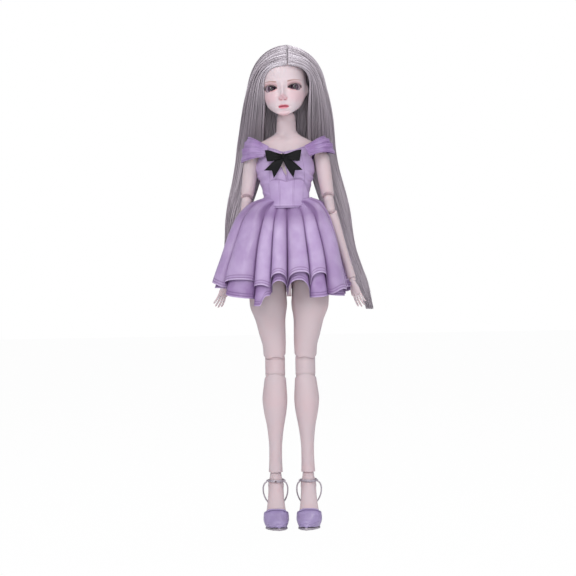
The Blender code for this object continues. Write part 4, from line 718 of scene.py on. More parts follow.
@dataclass(frozen=True)
class Glass:
    """A doll's glass eye: colours laid on by the mesh under a clear, wet coat."""

    name: str

    def build(self) -> bpy.types.Material:
        """Make the material."""
        graph = Graph(self.name)
        rays = graph.noise(1400.0, 4.0) * 0.5
        graph.set(
            Base_Color=graph.mix(rays * graph.number("iris"), graph.paint("face"), linear(96, 70, 96)),
            Roughness=0.08,
            Coat_Weight=0.6,
            Coat_Roughness=0.03,
        )
        return graph.material


@dataclass(frozen=True)
class Fibre:
    """Matt thread, netting or lashes, with a twist that shows in its bump."""

    name: str
    colour: tuple
    pitch: float = 0.0006

    def build(self) -> bpy.types.Material:
        """Make the material."""
        graph = Graph(self.name)
        x, _, z = graph.split(graph.place())
        twist = (z + x).wave(self.pitch)
        pale = graph.mix(twist * 0.35, self.colour, linear(235, 232, 235))
        graph.set(Base_Color=pale, Roughness=0.7, Sheen_Weight=0.2)
        graph.relief(twist, 0.00006)
        return graph.material


@dataclass(frozen=True)
class Steel:
    """Bent steel wire, drawn along its length."""

    name: str

    def build(self) -> bpy.types.Material:
        """Make the material."""
        graph = Graph(self.name)
        drawn = graph.noise(900.0, 3.0)
        graph.set(
            Base_Color=graph.mix(drawn * 0.4, linear(176, 178, 184), linear(214, 214, 218)),
            Metallic=1.0,
            Roughness=drawn * 0.2 + 0.22,
        )
        return graph.material


# Body


TORSO_LENGTH = 0.219
CROTCH = 0.286
SETBACK = 0.002
TORSO_HALF = (0.042, 0.03)
# Share of the torso's height; half width, front and back as shares of its half sizes
TORSO = np.array([
    (0.0, 0.19, 0.23, 0.27), (0.027, 0.38, 0.43, 0.6), (0.073, 0.76, 0.6, 0.87), (0.132, 0.98, 0.7, 1.0),
    (0.201, 1.0, 0.75, 0.98), (0.269, 0.9, 0.73, 0.87), (0.338, 0.75, 0.67, 0.7), (0.393, 0.67, 0.62, 0.62),
    (0.447, 0.635, 0.585, 0.57), (0.511, 0.62, 0.585, 0.55), (0.58, 0.63, 0.6, 0.55),
    (0.658, 0.71, 0.68, 0.62), (0.735, 0.765, 0.82, 0.65), (0.781, 0.74, 0.83, 0.67),
    (0.813, 0.77, 0.74, 0.68), (0.845, 0.86, 0.61, 0.66), (0.872, 0.84, 0.53, 0.62),
    (0.895, 0.64, 0.44, 0.54), (0.911, 0.48, 0.385, 0.467), (0.932, 0.333, 0.36, 0.417),
    (0.959, 0.29, 0.353, 0.387), (1.0, 0.279, 0.353, 0.373),
])
THIGH = np.array([
    (0.07, 0.6, 0.6, 0.0, 0.0, 0.0), (0.11, 0.85, 0.81, 0.03, 0.0, 0.0), (0.2, 0.98, 0.95, 0.08, 0.02, 0.0),
    (0.38, 0.98, 0.99, 0.1, 0.03, 0.0), (0.57, 0.78, 0.85, 0.06, 0.0, 0.0),
    (0.72, 0.69, 0.72, 0.02, -0.02, 0.05), (0.84, 0.61, 0.64, -0.02, -0.02, 0.25),
    (0.938, 0.58, 0.585, 0.0, 0.0, 0.577),
])
CALF = np.array([
    (0.058, 0.86, 0.8, 0.0, 0.0, -0.577), (0.13, 0.92, 0.9, 0.02, 0.08, -0.2),
    (0.25, 1.0, 1.0, 0.04, 0.16, 0.0), (0.38, 0.9, 0.93, 0.02, 0.15, 0.0),
    (0.51, 0.7, 0.74, 0.0, 0.07, 0.0), (0.62, 0.58, 0.6, 0.0, 0.01, 0.0),
    (0.75, 0.51, 0.52, 0.0, -0.02, 0.0), (0.86, 0.52, 0.5, 0.0, -0.01, 0.0),
    (0.965, 0.56, 0.53, 0.0, 0.0, 0.0),
])
UPPER_ARM = np.array([
    (0.085, 0.66, 0.66, 0.0, 0.0, 0.0), (0.14, 0.9, 0.92, 0.02, 0.0, 0.0),
    (0.26, 1.0, 1.06, 0.04, 0.0, 0.0), (0.45, 0.98, 1.04, 0.02, 0.0, 0.0), (0.7, 0.92, 0.92, 0.0, 0.0, 0.0),
    (0.85, 0.85, 0.84, 0.0, 0.0, -0.25), (0.935, 0.8, 0.76, 0.0, 0.0, -0.577),
])
FOREARM = np.array([
    (0.046, 0.98, 1.0, 0.0, 0.0, 0.577), (0.12, 0.98, 1.02, 0.0, 0.0, 0.2),
    (0.25, 0.94, 1.03, 0.02, 0.0, 0.0), (0.5, 0.82, 0.9, 0.01, 0.0, 0.0), (0.75, 0.72, 0.76, 0.0, 0.0, 0.0),
    (0.9, 0.74, 0.72, 0.0, 0.0, 0.0), (0.975, 0.76, 0.72, 0.0, 0.0, 0.0),
])
# How much wider a bowl is than its ball, and the radii of the balls
BOWL_EASE = 1.03
NECK_BALL, SHOULDER_BALL, ELBOW_BALL, WRIST_BALL = 0.0114, 0.0088, 0.006, 0.0042
HIP_BALL, KNEE_BALL, ANKLE_BALL, CHEST_BOWL = 0.0145, 0.0121, 0.0074, 0.016
# Half the thickness of the elastic in the trunk, the legs, the shoulders and the arms
TRUNK_CORD, LEG_CORD, SHOULDER_CORD, ARM_CORD = 0.0013, 0.0011, 0.001, 0.0009


def torso_surface(angle: Array, height: Array, grow: Array | float = 0.0) -> Array:
    """Points of the torso: ovals whose front and back halves differ in depth, with the two
    breasts, the hollow between them, collar bones, shoulder blades and the notch of the
    neck raised on them as bells.

    Args:
        angle: The way round, from +X towards the back.
        height: Metres above the floor.
        grow: How far outside the skin.

    Returns:
        The points.
    """
    shape = np.broadcast_shapes(np.shape(angle), np.shape(height))
    angle, height = np.broadcast_to(angle, shape), np.broadcast_to(height, shape)
    share = (height - CROTCH) / TORSO_LENGTH
    wide, near, far = spline(TORSO[:, 0], TORSO[:, 1:], share.ravel()).T.reshape(3, *shape)
    x = TORSO_HALF[0] * wide * np.cos(angle)
    facing = -np.sin(angle)
    y = -facing * TORSO_HALF[1] * np.where(facing > 0.0, near, far)
    rise = 0.0026 * bump(np.abs(x), 0.014, 0.0085) * bump(height, 0.4555, 0.01)
    rise = rise - 0.0042 * bump(x, 0.0, 0.0065) * bump(height, 0.456, 0.013)
    bone = 0.483 + 0.1 * np.abs(x)
    collar = 0.0009 * bump(height, bone, 0.0021) * ease((np.abs(x) - 0.004) / 0.004)
    rise = rise + collar * ease((0.031 - np.abs(x)) / 0.01)
    rise = rise - 0.0014 * bump(x, 0.0, 0.0045) * bump(height, 0.485, 0.0034)
    rise = rise - 0.0006 * bump(x, 0.0, 0.0025) * ease((0.45 - height) / 0.02) * ease((height - 0.4) / 0.02)
    y = y - rise * np.clip(facing * 1.6, 0.0, 1.0)
    blades = 0.001 * bump(np.abs(x), 0.0155, 0.007) * bump(height, 0.461, 0.012)
    spine = 0.0012 * bump(x, 0.0, 0.0035) - blades
    y = y - spine * np.clip(-facing * 1.6, 0.0, 1.0) * ease((0.487 - height) / 0.02)
    return xyz(x + grow * np.cos(angle), SETBACK + y - grow * facing, height)


def hollow(points: Array, centre: Array, radius: float) -> Array:
    """Push the points that lie inside a ball straight out to its surface, as a bowl.

    Args:
        points: The points.
        centre: The ball's centre.
        radius: The bowl's radius.

    Returns:
        The moved points.
    """
    offset = points - centre
    far = np.linalg.norm(offset, axis=-1, keepdims=True)
    return np.where(far < radius, centre + offset / np.maximum(far, 1e-9) * radius, points)


def lid(ring: Array, steps: int, inward: bool) -> Array:
    """Rings that shrink from an end ring to its middle, the last very small.

    Args:
        ring: The end's points.
        steps: Rings to make.
        inward: Whether they run from the ring or to it.

    Returns:
        Rows of points.
    """
    middle = ring.mean(axis=0)
    share = np.linspace(0.985, 0.02, steps)[:, None, None]
    rows = middle + (ring - middle) * share
    return rows if inward else rows[::-1]


@dataclass(frozen=True)
class Limb:
    """A length of a limb that ends in a bowl at each joint.

    Its sections are ovals. Each is carried along the line between the joints by its share,
    shifted sideways and back, and tilted by its slope from front to back.
    """

    part: str
    side: Side
    start: Array
    end: Array
    half: tuple[float, float]
    shares: Array
    bowls: tuple[float, float]
    arch: float = 0.0

    def grid(self, rows: int = 120, columns: int = 96) -> Array:
        """Rows of points down the limb, with both bowls.

        Args:
            rows: Rows down its length.
            columns: Points in a row.

        Returns:
            The points.
        """
        along, across, back = frame_along(self.end - self.start)
        length = float(np.linalg.norm(self.end - self.start))
        way = np.linspace(self.shares[0, 0], self.shares[-1, 0], rows)
        table = spline(self.shares[:, 0], self.shares[:, 1:], way)
        angle = turns(columns)
        reach = self.half[1] * table[:, 1, None] * np.sin(angle)
        drop = -table[:, 4, None] * reach
        front = bump(np.cos(angle), 0.0, 0.5) * (np.sin(angle) < 0.0)
        end_share = (way[:, None] - self.shares[-1, 0] + 0.1) / 0.1
        drop = drop - self.arch * front * ease(end_share) * (end_share > 0.0)
        centre = self.start + along * (length * way)[:, None]
        centre = centre - across * (self.side.value * self.half[0] * table[:, 2])[:, None]
        centre = centre + back * (self.half[1] * table[:, 3])[:, None]
        points = (
            centre[:, None]
            + across * (self.half[0] * table[:, 0, None] * np.cos(angle))[..., None]
            + back * reach[..., None]
            + along * drop[..., None]
        )
        points = np.concatenate([lid(points[0], 22, False), points, lid(points[-1], 22, True)])
        points = hollow(points, self.start, self.bowls[0] * BOWL_EASE)
        return hollow(points, self.end, self.bowls[1] * BOWL_EASE)

    def build(self, finish: bpy.types.Material) -> bpy.types.Object:
        """Make the limb in a finish."""
        return cast(self.grid(), finish, f"{self.part}_{self.side.word}")


@dataclass(frozen=True)
class Hinge:
    """A knee or elbow piece: a capsule that turns about a line at each end, with a kneecap
    or elbow point raised on it as a bell."""

    part: str
    side: Side
    upper: Array
    lower: Array
    radius: float
    half_width: float
    cap: float

    def build(self, finish: bpy.types.Material) -> bpy.types.Object:
        """Make the joint piece in a finish."""
        along, across, back = frame_along(self.lower - self.upper)
        lift = np.radians(np.linspace(88.0, 0.0, 30))
        low = np.concatenate([-np.sin(lift) * self.radius, np.zeros(12), np.sin(lift[::-1]) * self.radius])
        size = np.concatenate([np.cos(lift), np.ones(12), np.cos(lift[::-1])])
        middle = np.concatenate([np.zeros(30), np.linspace(0.0, 1.0, 12), np.ones(30)])
        angle = turns(72)
        span = np.linalg.norm(self.lower - self.upper)
        distance = low + middle * span
        swell = self.cap * bump(distance, span * 0.45, span * 0.55)[:, None] * bump(np.cos(angle), 0.0, 0.55)
        swell = swell * (np.sin(angle) * np.sign(self.cap) < 0.0) * np.sign(self.cap)
        centre = self.upper + along * distance[:, None]
        points = (
            centre[:, None]
            + across * (self.half_width * size[:, None] * np.cos(angle))[..., None]
            + back * ((self.radius * size[:, None] + swell) * np.sin(angle))[..., None]
        )
        return cast(points, finish, f"{self.part}_{self.side.word}")


def ball_grid(centre: Array, radius: float, rows: int = 40, columns: int = 64, low: float = -89.0) -> Array:
    """Rings of a ball, from low degrees above its equator to its crown."""
    rise = np.radians(np.linspace(low, 89.0, rows))[:, None]
    angle = turns(columns)
    return centre + radius * xyz(np.cos(rise) * np.cos(angle), np.cos(rise) * np.sin(angle), np.sin(rise))


@dataclass
class Torso:
    """Chest and neck, with the waist, pelvis and hip balls that the dress hides."""

    finish: bpy.types.Material

    def chest(self) -> None:
        """The chest from its lower seam to the neck's ball, with a bowl for each shoulder."""
        angle = turns(240)
        rows = [torso_surface(angle[None], z) for z in np.linspace(0.4055, 0.5045, 200)]
        body = np.concatenate(rows)
        top = ball_grid(joint_point("head_nod"), NECK_BALL, 40, 240, -17.0)
        grid = np.concatenate([lid(body[0], 24, False), body, top])
        grid = hollow(grid, joint_point("chest_bend"), CHEST_BOWL)
        for side in Side:
            grid = hollow(grid, joint_point(f"arm_swing_{side.word}"), SHOULDER_BALL * BOWL_EASE)
        cast(grid, self.finish, "chest")

    def shoulders(self) -> None:
        """The ball in each shoulder."""
        for side in Side:
            ball = ball_grid(joint_point(f"arm_swing_{side.word}"), SHOULDER_BALL)
            cast(ball, self.finish, f"shoulder_ball_{side.word}")

    def keep(self, finish: bpy.types.Material, *nodes: str) -> None:
        """Give nodes of the frame that keep their shape a better finish.

        Args:
            finish: The material.
            *nodes: The nodes' names.
        """
        for name in nodes:
            mesh = frame["nodes"][name].data
            mesh.materials.clear()
            mesh.materials.append(finish)
            LOG.info("%s: kept with a new finish", name)


@dataclass
class Arm:
    """Upper arm, elbow piece, forearm and hand of one side."""

    side: Side
    finish: bpy.types.Material
    finger_bend: tuple[float, ...] = (0.1, 0.22, 0.22)

    def build(self) -> list[bpy.types.Object]:
        """Make the arm's pieces.

        Returns:
            The pieces, from the shoulder down.
        """
        word = self.side.word
        joints = ("arm_raise", "elbow_upper", "elbow_lower", "wrist_bend")
        shoulder, upper, lower, wrist = (joint_point(f"{name}_{word}") for name in joints)
        thick, thin = (0.0095, 0.0095), (0.0072, 0.0072)
        above, below = (SHOULDER_BALL, ELBOW_BALL), (ELBOW_BALL, WRIST_BALL)
        return [
            Limb("upper_arm", self.side, shoulder, upper, thick, UPPER_ARM, above).build(self.finish),
            Hinge("elbow", self.side, upper, lower, 0.0058, 0.0062, -0.0006).build(self.finish),
            Limb("forearm", self.side, lower, wrist, thin, FOREARM, below).build(self.finish),
            self.hand(wrist, wrist - lower),
        ]

    def hand(self, wrist: Array, direction: Array) -> bpy.types.Object:
        """The hand: an oval palm, four fingers and a thumb, melted into one skin by a voxel
        grid and then relaxed.

        Args:
            wrist: The centre of the wrist's ball.
            direction: The way that the forearm points.

        Returns:
            The hand.
        """
        along, across, back = frame_along(direction)
        sign = self.side.value
        spin = math.radians(35.0) * sign
        broad = across * math.cos(spin) + np.cross(along, across) * math.sin(spin)
        thick = back * math.cos(spin) + np.cross(along, back) * math.sin(spin)
        way = np.linspace(0.04, 1.0, 40)
        knots = np.array([
            (0.04, 0.44, 0.7), (0.12, 0.47, 0.84), (0.3, 0.62, 1.02), (0.55, 0.84, 1.0), (0.8, 0.98, 0.8),
            (1.0, 0.9, 0.52),
        ])
        size = spline(knots[:, 0], knots[:, 1:], way)
        angle = turns(48)
        palm = (
            (wrist + along * (0.0195 * way)[:, None])[:, None]
            + broad * (0.0062 * size[:, 0, None] * np.cos(angle))[..., None]
            + thick * (0.0034 * size[:, 1, None] * np.sin(angle))[..., None]
        )
        parts = [palm, ball_grid(wrist, WRIST_BALL)]
        for place, share in ((0.74, 0.92), (0.26, 1.0), (-0.24, 0.95), (-0.72, 0.78)):
            base = wrist + along * 0.0155 + broad * (0.0062 * place * sign)
            heading = along + broad * (place * 0.16 * sign)
            parts.append(self.finger(base, heading, thick, 0.0215 * share, 0.00142))
        thumb = wrist + along * 0.0058 + broad * (0.0034 * sign)
        parts.append(self.finger(thumb, along + broad * (0.46 * sign), thick, 0.0158, 0.0016))
        name = f"hand_{self.side.word}"
        piece = melt(f"{name}_resin", parts, 0.0003, 8)
        return finish_piece(piece, self.finish, name, "skin_resin", name)

    def finger(self, base: Array, heading: Array, towards: Array, length: float, radius: float) -> Array:
        """Rings of one finger. Its heading leans over more at each of its joints, and it is a
        little thicker there than between them.

        Args:
            base: Where it starts, inside the palm.
            heading: Its first direction.
            towards: The way that it bends.
            length: Its length.
            radius: Its radius at the base.

        Returns:
            The rings.
        """
        share = np.linspace(0.0, 1.0, 48)
        bends = zip(self.finger_bend, (0.16, 0.48, 0.74))
        lean = 0.05 + sum(bend * ease((share - at) / 0.16 + 0.5) for bend, at in bends)
        ways = heading / np.linalg.norm(heading) + towards * lean[:, None]
        ways /= np.linalg.norm(ways, axis=1, keepdims=True)
        centre = base + np.cumsum(ways, axis=0) * (length / 48)
        size = radius * (1.0 - 0.26 * share + 0.09 * (bump(share, 0.5, 0.06) + bump(share, 0.77, 0.05)))
        size = size * np.sqrt(np.clip(1.0 - ((share - 0.9) / 0.101).clip(0.0) ** 2, 0.01, 1.0))
        side = np.cross(ways, towards)
        side /= np.linalg.norm(side, axis=1, keepdims=True)
        up = np.cross(side, ways)
        angle = turns(20)
        return centre[:, None] + size[:, None, None] * (
            side[:, None] * np.cos(angle)[:, None] + up[:, None] * np.sin(angle)[:, None]
        )


def melt(name: str, parts: list[Array], voxel: float, relax: int) -> bpy.types.Object:
    """Join closed grids that overlap into one smooth skin on a voxel grid.

    Args:
        name: The piece's name.
        parts: Grids of rings.
        voxel: The grid's step.
        relax: Smoothing steps after it.

    Returns:
        The object, with plain mesh data.
    """
    points, faces, start = [], [], 0
    for grid in parts:
        rows, columns = grid.shape[:2]
        quads = grid_faces(rows, columns, True) + start
        top, far = start + (rows - 1) * columns, start + rows * columns
        ends = [list(range(start, start + columns))[::-1], list(range(top, far))]
        points.append(grid.reshape(-1, 3))
        faces += quads.tolist() + ends
        start += rows * columns
    rough = add_mesh(name + "_rough", np.concatenate(points), faces)
    remesh = rough.modifiers.new("melt", "REMESH")
    remesh.mode = "VOXEL"
    remesh.voxel_size = voxel * 1.0
    smooth = rough.modifiers.new("relax", "SMOOTH")
    smooth.iterations = relax
    smooth.factor = 0.5
    mesh = bpy.data.meshes.new_from_object(rough.evaluated_get(bpy.context.evaluated_depsgraph_get()))
    mesh.name = name
    bpy.data.objects.remove(rough, do_unlink=True)
    mesh.polygons.foreach_set("use_smooth", np.ones(len(mesh.polygons), bool))
    return link(name, mesh)


FOOT = np.array([
    (0.0, 0.25, 0.76, 0.9), (0.07, 0.58, 0.7, 1.0), (0.17, 0.7, 0.6, 1.0), (0.3, 0.72, 0.47, 0.98),
    (0.42, 0.76, 0.34, 0.82), (0.54, 0.86, 0.19, 0.61), (0.66, 0.98, 0.075, 0.43), (0.78, 1.0, 0.052, 0.31),
    (0.89, 0.8, 0.052, 0.23), (0.97, 0.48, 0.052, 0.17), (1.0, 0.22, 0.06, 0.13),
])
FOOT_LENGTH = 0.07
FOOT_HALF = 0.0135
INSTEP = 0.056
HEEL_BACK = 0.021


def foot_line(share: Array, side: Side) -> tuple[Array, Array, Array, Array, Array]:
    """Middle, way back, half width, underside and top of a foot.

    Args:
        share: The way from heel to toe.
        side: Which foot.

    Returns:
        Five rows of metres. The toes lean in by a fifth of the foot's width past the ball.
    """
    middle = joint_point(f"foot_bend_{side.word}")[0] - side.value * 0.012 * np.maximum(0.0, share - 0.75)
    wide, low, high = spline(FOOT[:, 0], FOOT[:, 1:], np.minimum(share, 1.0)).T
    return middle, HEEL_BACK - FOOT_LENGTH * share, FOOT_HALF * wide, INSTEP * low, INSTEP * high


@dataclass
class Leg:
    """Thigh, knee piece, calf and foot of one side."""

    side: Side
    finish: bpy.types.Material

    def build(self) -> list[bpy.types.Object]:
        """Make the leg's pieces.

        Returns:
            The pieces, from the hip down.
        """
        word = self.side.word
        joints = ("leg_spread", "knee_upper", "knee_lower", "foot_bend")
        hip, upper, lower, ankle = (joint_point(f"{name}_{word}") for name in joints)
        thigh = Limb("thigh", self.side, hip, upper, (0.0238, 0.024), THIGH, (HIP_BALL, KNEE_BALL), 0.004)
        calf = Limb("calf", self.side, lower, ankle, (0.0156, 0.017), CALF, (KNEE_BALL, ANKLE_BALL))
        return [
            thigh.build(self.finish),
            Hinge("knee", self.side, upper, lower, 0.0118, 0.0124, 0.0012).build(self.finish),
            calf.build(self.finish),
            self.foot(ankle),
        ]

    def foot(self, ankle: Array) -> bpy.types.Object:
        """The foot on tiptoe, its ankle and the ball that turns in the calf."""
        share = np.concatenate([np.linspace(0.0, 0.05, 8), np.linspace(0.07, 1.0, 56)])
        middle, back, wide, low, high = foot_line(share, self.side)
        angle = turns(48)
        sole = xyz(
            middle[:, None] + wide[:, None] * np.cos(angle),
            back[:, None],
            ((low + high) / 2)[:, None] + ((high - low) / 2)[:, None] * np.sin(angle),
        )
        knots = np.array([(0.0, 0.62), (0.2, 0.92), (0.5, 0.99), (0.72, 0.95), (0.86, 0.9), (1.0, 0.84)])
        rise = np.linspace(0.0, 1.0, 40)
        radius = 0.0092 * spline(knots[:, 0], knots[:, 1], rise)[:, 0]
        foot_z = 0.036 + (ankle[2] - 0.002 - 0.036) * rise
        bones = 1.0 + 0.1 * bump(foot_z, 0.05, 0.005)[:, None] * bump(np.abs(np.cos(angle)), 1.0, 0.3)
        column = xyz(
            ankle[0] + radius[:, None] * bones * np.cos(angle),
            ankle[1] + radius[:, None] * bones * np.sin(angle),
            foot_z[:, None],
        )
        name = f"foot_{self.side.word}"
        piece = melt(f"{name}_resin", [sole, column, ball_grid(ankle, ANKLE_BALL)], 0.00045, 12)
        return finish_piece(piece, self.finish, name, "skin_resin", name)


@dataclass
class Elastic:
    """The strung elastic: each limb carries its own length of cord, which meets the next
    at the centre of the joint between them."""

    finish: bpy.types.Material

    def length(self, name: str, body: str, first: Array, last: Array, radius: float, *nodes: str) -> None:
        """One straight length of cord.

        Args:
            name: The piece's name.
            body: The body that carries it.
            first: Its first end.
            last: Its last end.
            radius: Half its thickness.
            *nodes: Nodes of the frame that it replaces.
        """
        path = (first + (last - first) * np.linspace(0.0, 1.0, 24)[:, None])[None]
        size = np.full((1, 24), radius)
        piece = tubes(f"cord_{name}", path, size, size, 14, np.array([0.0, 0.3, 0.3]))
        finish_piece(piece, self.finish, body, "white_elastic", *nodes)

    def build(self) -> None:
        """String the trunk, the legs and the arms."""
        waist, bend, neck = (joint_point(name) for name in ("waist_turn", "chest_bend", "head_turn"))
        core, up = waist - [0.0, 0.0, 0.034], np.array([0.0, 0.0, 0.006])
        self.length("pelvis", "pelvis", core, waist, TRUNK_CORD, "leg_elastic")
        self.length("abdomen", "abdomen", waist, bend, TRUNK_CORD)
        self.length("chest", "chest", bend, neck - up, TRUNK_CORD)
        shoulders = [joint_point(f"arm_swing_{side.word}") for side in Side]
        self.length("shoulders", "chest", *shoulders, SHOULDER_CORD, "arm_elastic")
        for side in Side:
            word = side.word
            for bodies, names, radius in (
                (("calf", "knee", "thigh"), ("foot_bend", "knee_lower", "knee_upper", "leg_swing"), LEG_CORD),
                (
                    ("forearm", "elbow", "upper_arm"),
                    ("wrist_turn", "elbow_lower", "elbow_upper", "arm_swing"),
                    ARM_CORD,
                ),
            ):
                points = [joint_point(f"{name}_{word}") for name in names]
                points[0] = points[0] + 0.05 * (points[1] - points[0])
                for body, first, last in zip(bodies, points, points[1:]):
                    self.length(f"{body}_{word}", f"{body}_{word}", first, last, radius)
            self.length(f"hip_{word}", "pelvis", joint_point(f"leg_swing_{word}"), core, LEG_CORD)


# Head and hair


CHIN = 0.511
HEAD_LENGTH = 0.08
SKULL_HALF = (0.029, 0.0345)
# Share from chin to crown; half width, front and back as shares of the skull's half sizes
SKULL = np.array([
    (0.0, 0.16, 0.8, -0.62), (0.03, 0.34, 0.86, -0.4), (0.075, 0.52, 0.89, -0.02), (0.14, 0.7, 0.9, 0.42),
    (0.22, 0.81, 0.89, 0.66), (0.32, 0.9, 0.88, 0.8), (0.43, 0.96, 0.88, 0.92), (0.54, 0.99, 0.91, 0.99),
    (0.65, 1.0, 0.94, 1.02), (0.76, 0.95, 0.9, 0.98), (0.86, 0.82, 0.77, 0.84), (0.935, 0.6, 0.56, 0.62),
    (0.98, 0.34, 0.31, 0.36), (1.0, 0.1, 0.09, 0.1),
])
EYE_OUT = 0.0148
EYE_UP = 0.5443
MOUTH = 0.5207
GAZE = math.radians(6.0)


def posed(points: Array) -> Array:
    """Turn points of the head by 4 degrees to its right and 3.4 degrees over, about the ball
    of the neck.

    Args:
        points: Points of the head facing straight ahead.

    Returns:
        The points in the head's pose.
    """
    turn, tilt = math.radians(-4.0), math.radians(-3.4)
    about_z = np.array([[math.cos(turn), -math.sin(turn), 0], [math.sin(turn), math.cos(turn), 0], [0, 0, 1]])
    about_y = np.array([[math.cos(tilt), 0, math.sin(tilt)], [0, 1, 0], [-math.sin(tilt), 0, math.cos(tilt)]])
    neck = joint_point("head_nod")
    return (points - neck) @ (about_z @ about_y).T + neck


@dataclass(frozen=True)
class Eyelids:
    """The almond between the lids of one eye, seen from the front."""

    centre: float
    half_width: float = 0.0077
    upper: float = 0.0027
    lower: float = 0.0025

    def edges(self, x: Array) -> tuple[Array, Array, Array]:
        """Place across the eye, and the heights of its upper and lower lid.

        Args:
            x: Metres to the doll's left.

        Returns:
            The place from -1 at the nose to 1 at the temple, and both heights. The lids are
            one less the square of the place, and the outer corner stands a little higher.
        """
        across = (x - self.centre) / self.half_width * np.sign(self.centre)
        open_share = np.clip(1.0 - across**2, 0.0, 1.0)
        lift = EYE_UP + 0.0002 * across
        return across, lift + self.upper * open_share**0.75, lift - self.lower * open_share**0.9

    def depth(self, x: Array, z: Array) -> Array:
        """How far inside the lids' edges a point lies, in metres and below 0 outside."""
        across, upper, lower = self.edges(x)
        inside = np.minimum(upper - z, z - lower)
        return np.minimum(inside, (1.0 - np.abs(across)) * self.half_width * 0.6)


# Rise, way aside, its spread, height and its spread of the bells that shape the face
FEATURES = (
    (0.0022, 0.0033, 0.002, 0.5307, 0.002),  # nose's wings
    (-0.001, 0.002, 0.0012, 0.5286, 0.001),  # nostrils
    (-0.0004, 0.0, 0.001, MOUTH + 0.0053, 0.002),  # groove below the nose
    (0.0021, 0.0, 0.0062, MOUTH + 0.002, 0.0017),  # upper lip
    (0.0024, 0.0, 0.0056, MOUTH - 0.0023, 0.0019),  # lower lip
    (-0.0015, 0.0, 0.0058, MOUTH, 0.0006),  # line of the mouth
    (-0.0007, 0.0071, 0.0012, MOUTH, 0.0014),  # its corners
    (-0.0011, 0.0, 0.007, MOUTH - 0.0058, 0.0015),  # hollow below it
    (0.0022, 0.0, 0.008, 0.511, 0.0036),  # chin
    (0.0014, 0.015, 0.008, 0.532, 0.007),  # cheeks
    (0.0012, 0.013, 0.01, EYE_UP + 0.008, 0.0032),  # brows
    (-0.0026, 0.014, 0.008, EYE_UP, 0.0048),  # eye hollows
    (-0.0014, 0.0062, 0.003, EYE_UP, 0.006),  # inner corners
)


def face_relief(x: Array, z: Array) -> Array:
    """How far the face stands forward of the plain skull, as a sum of bells for the nose,
    its wings, the lips, chin, cheeks, brow and eye hollows.

    Args:
        x: Metres to the doll's left.
        z: Metres above the floor.

    Returns:
        The rise, in metres.
    """
    away = np.abs(x)
    rise = 0.0044 * bump(x, 0.0, 0.0031) * bump(z, 0.5324, 0.0036)
    bridge = ease((z - 0.53) / 0.004) * ease((0.556 - z) / 0.018)
    rise = rise + 0.0038 * bump(x, 0.0, 0.0027) * bridge
    for size, aside, wide, height, tall in FEATURES:
        rise = rise + size * bump(away, aside, wide) * bump(z, height, tall)
    return rise


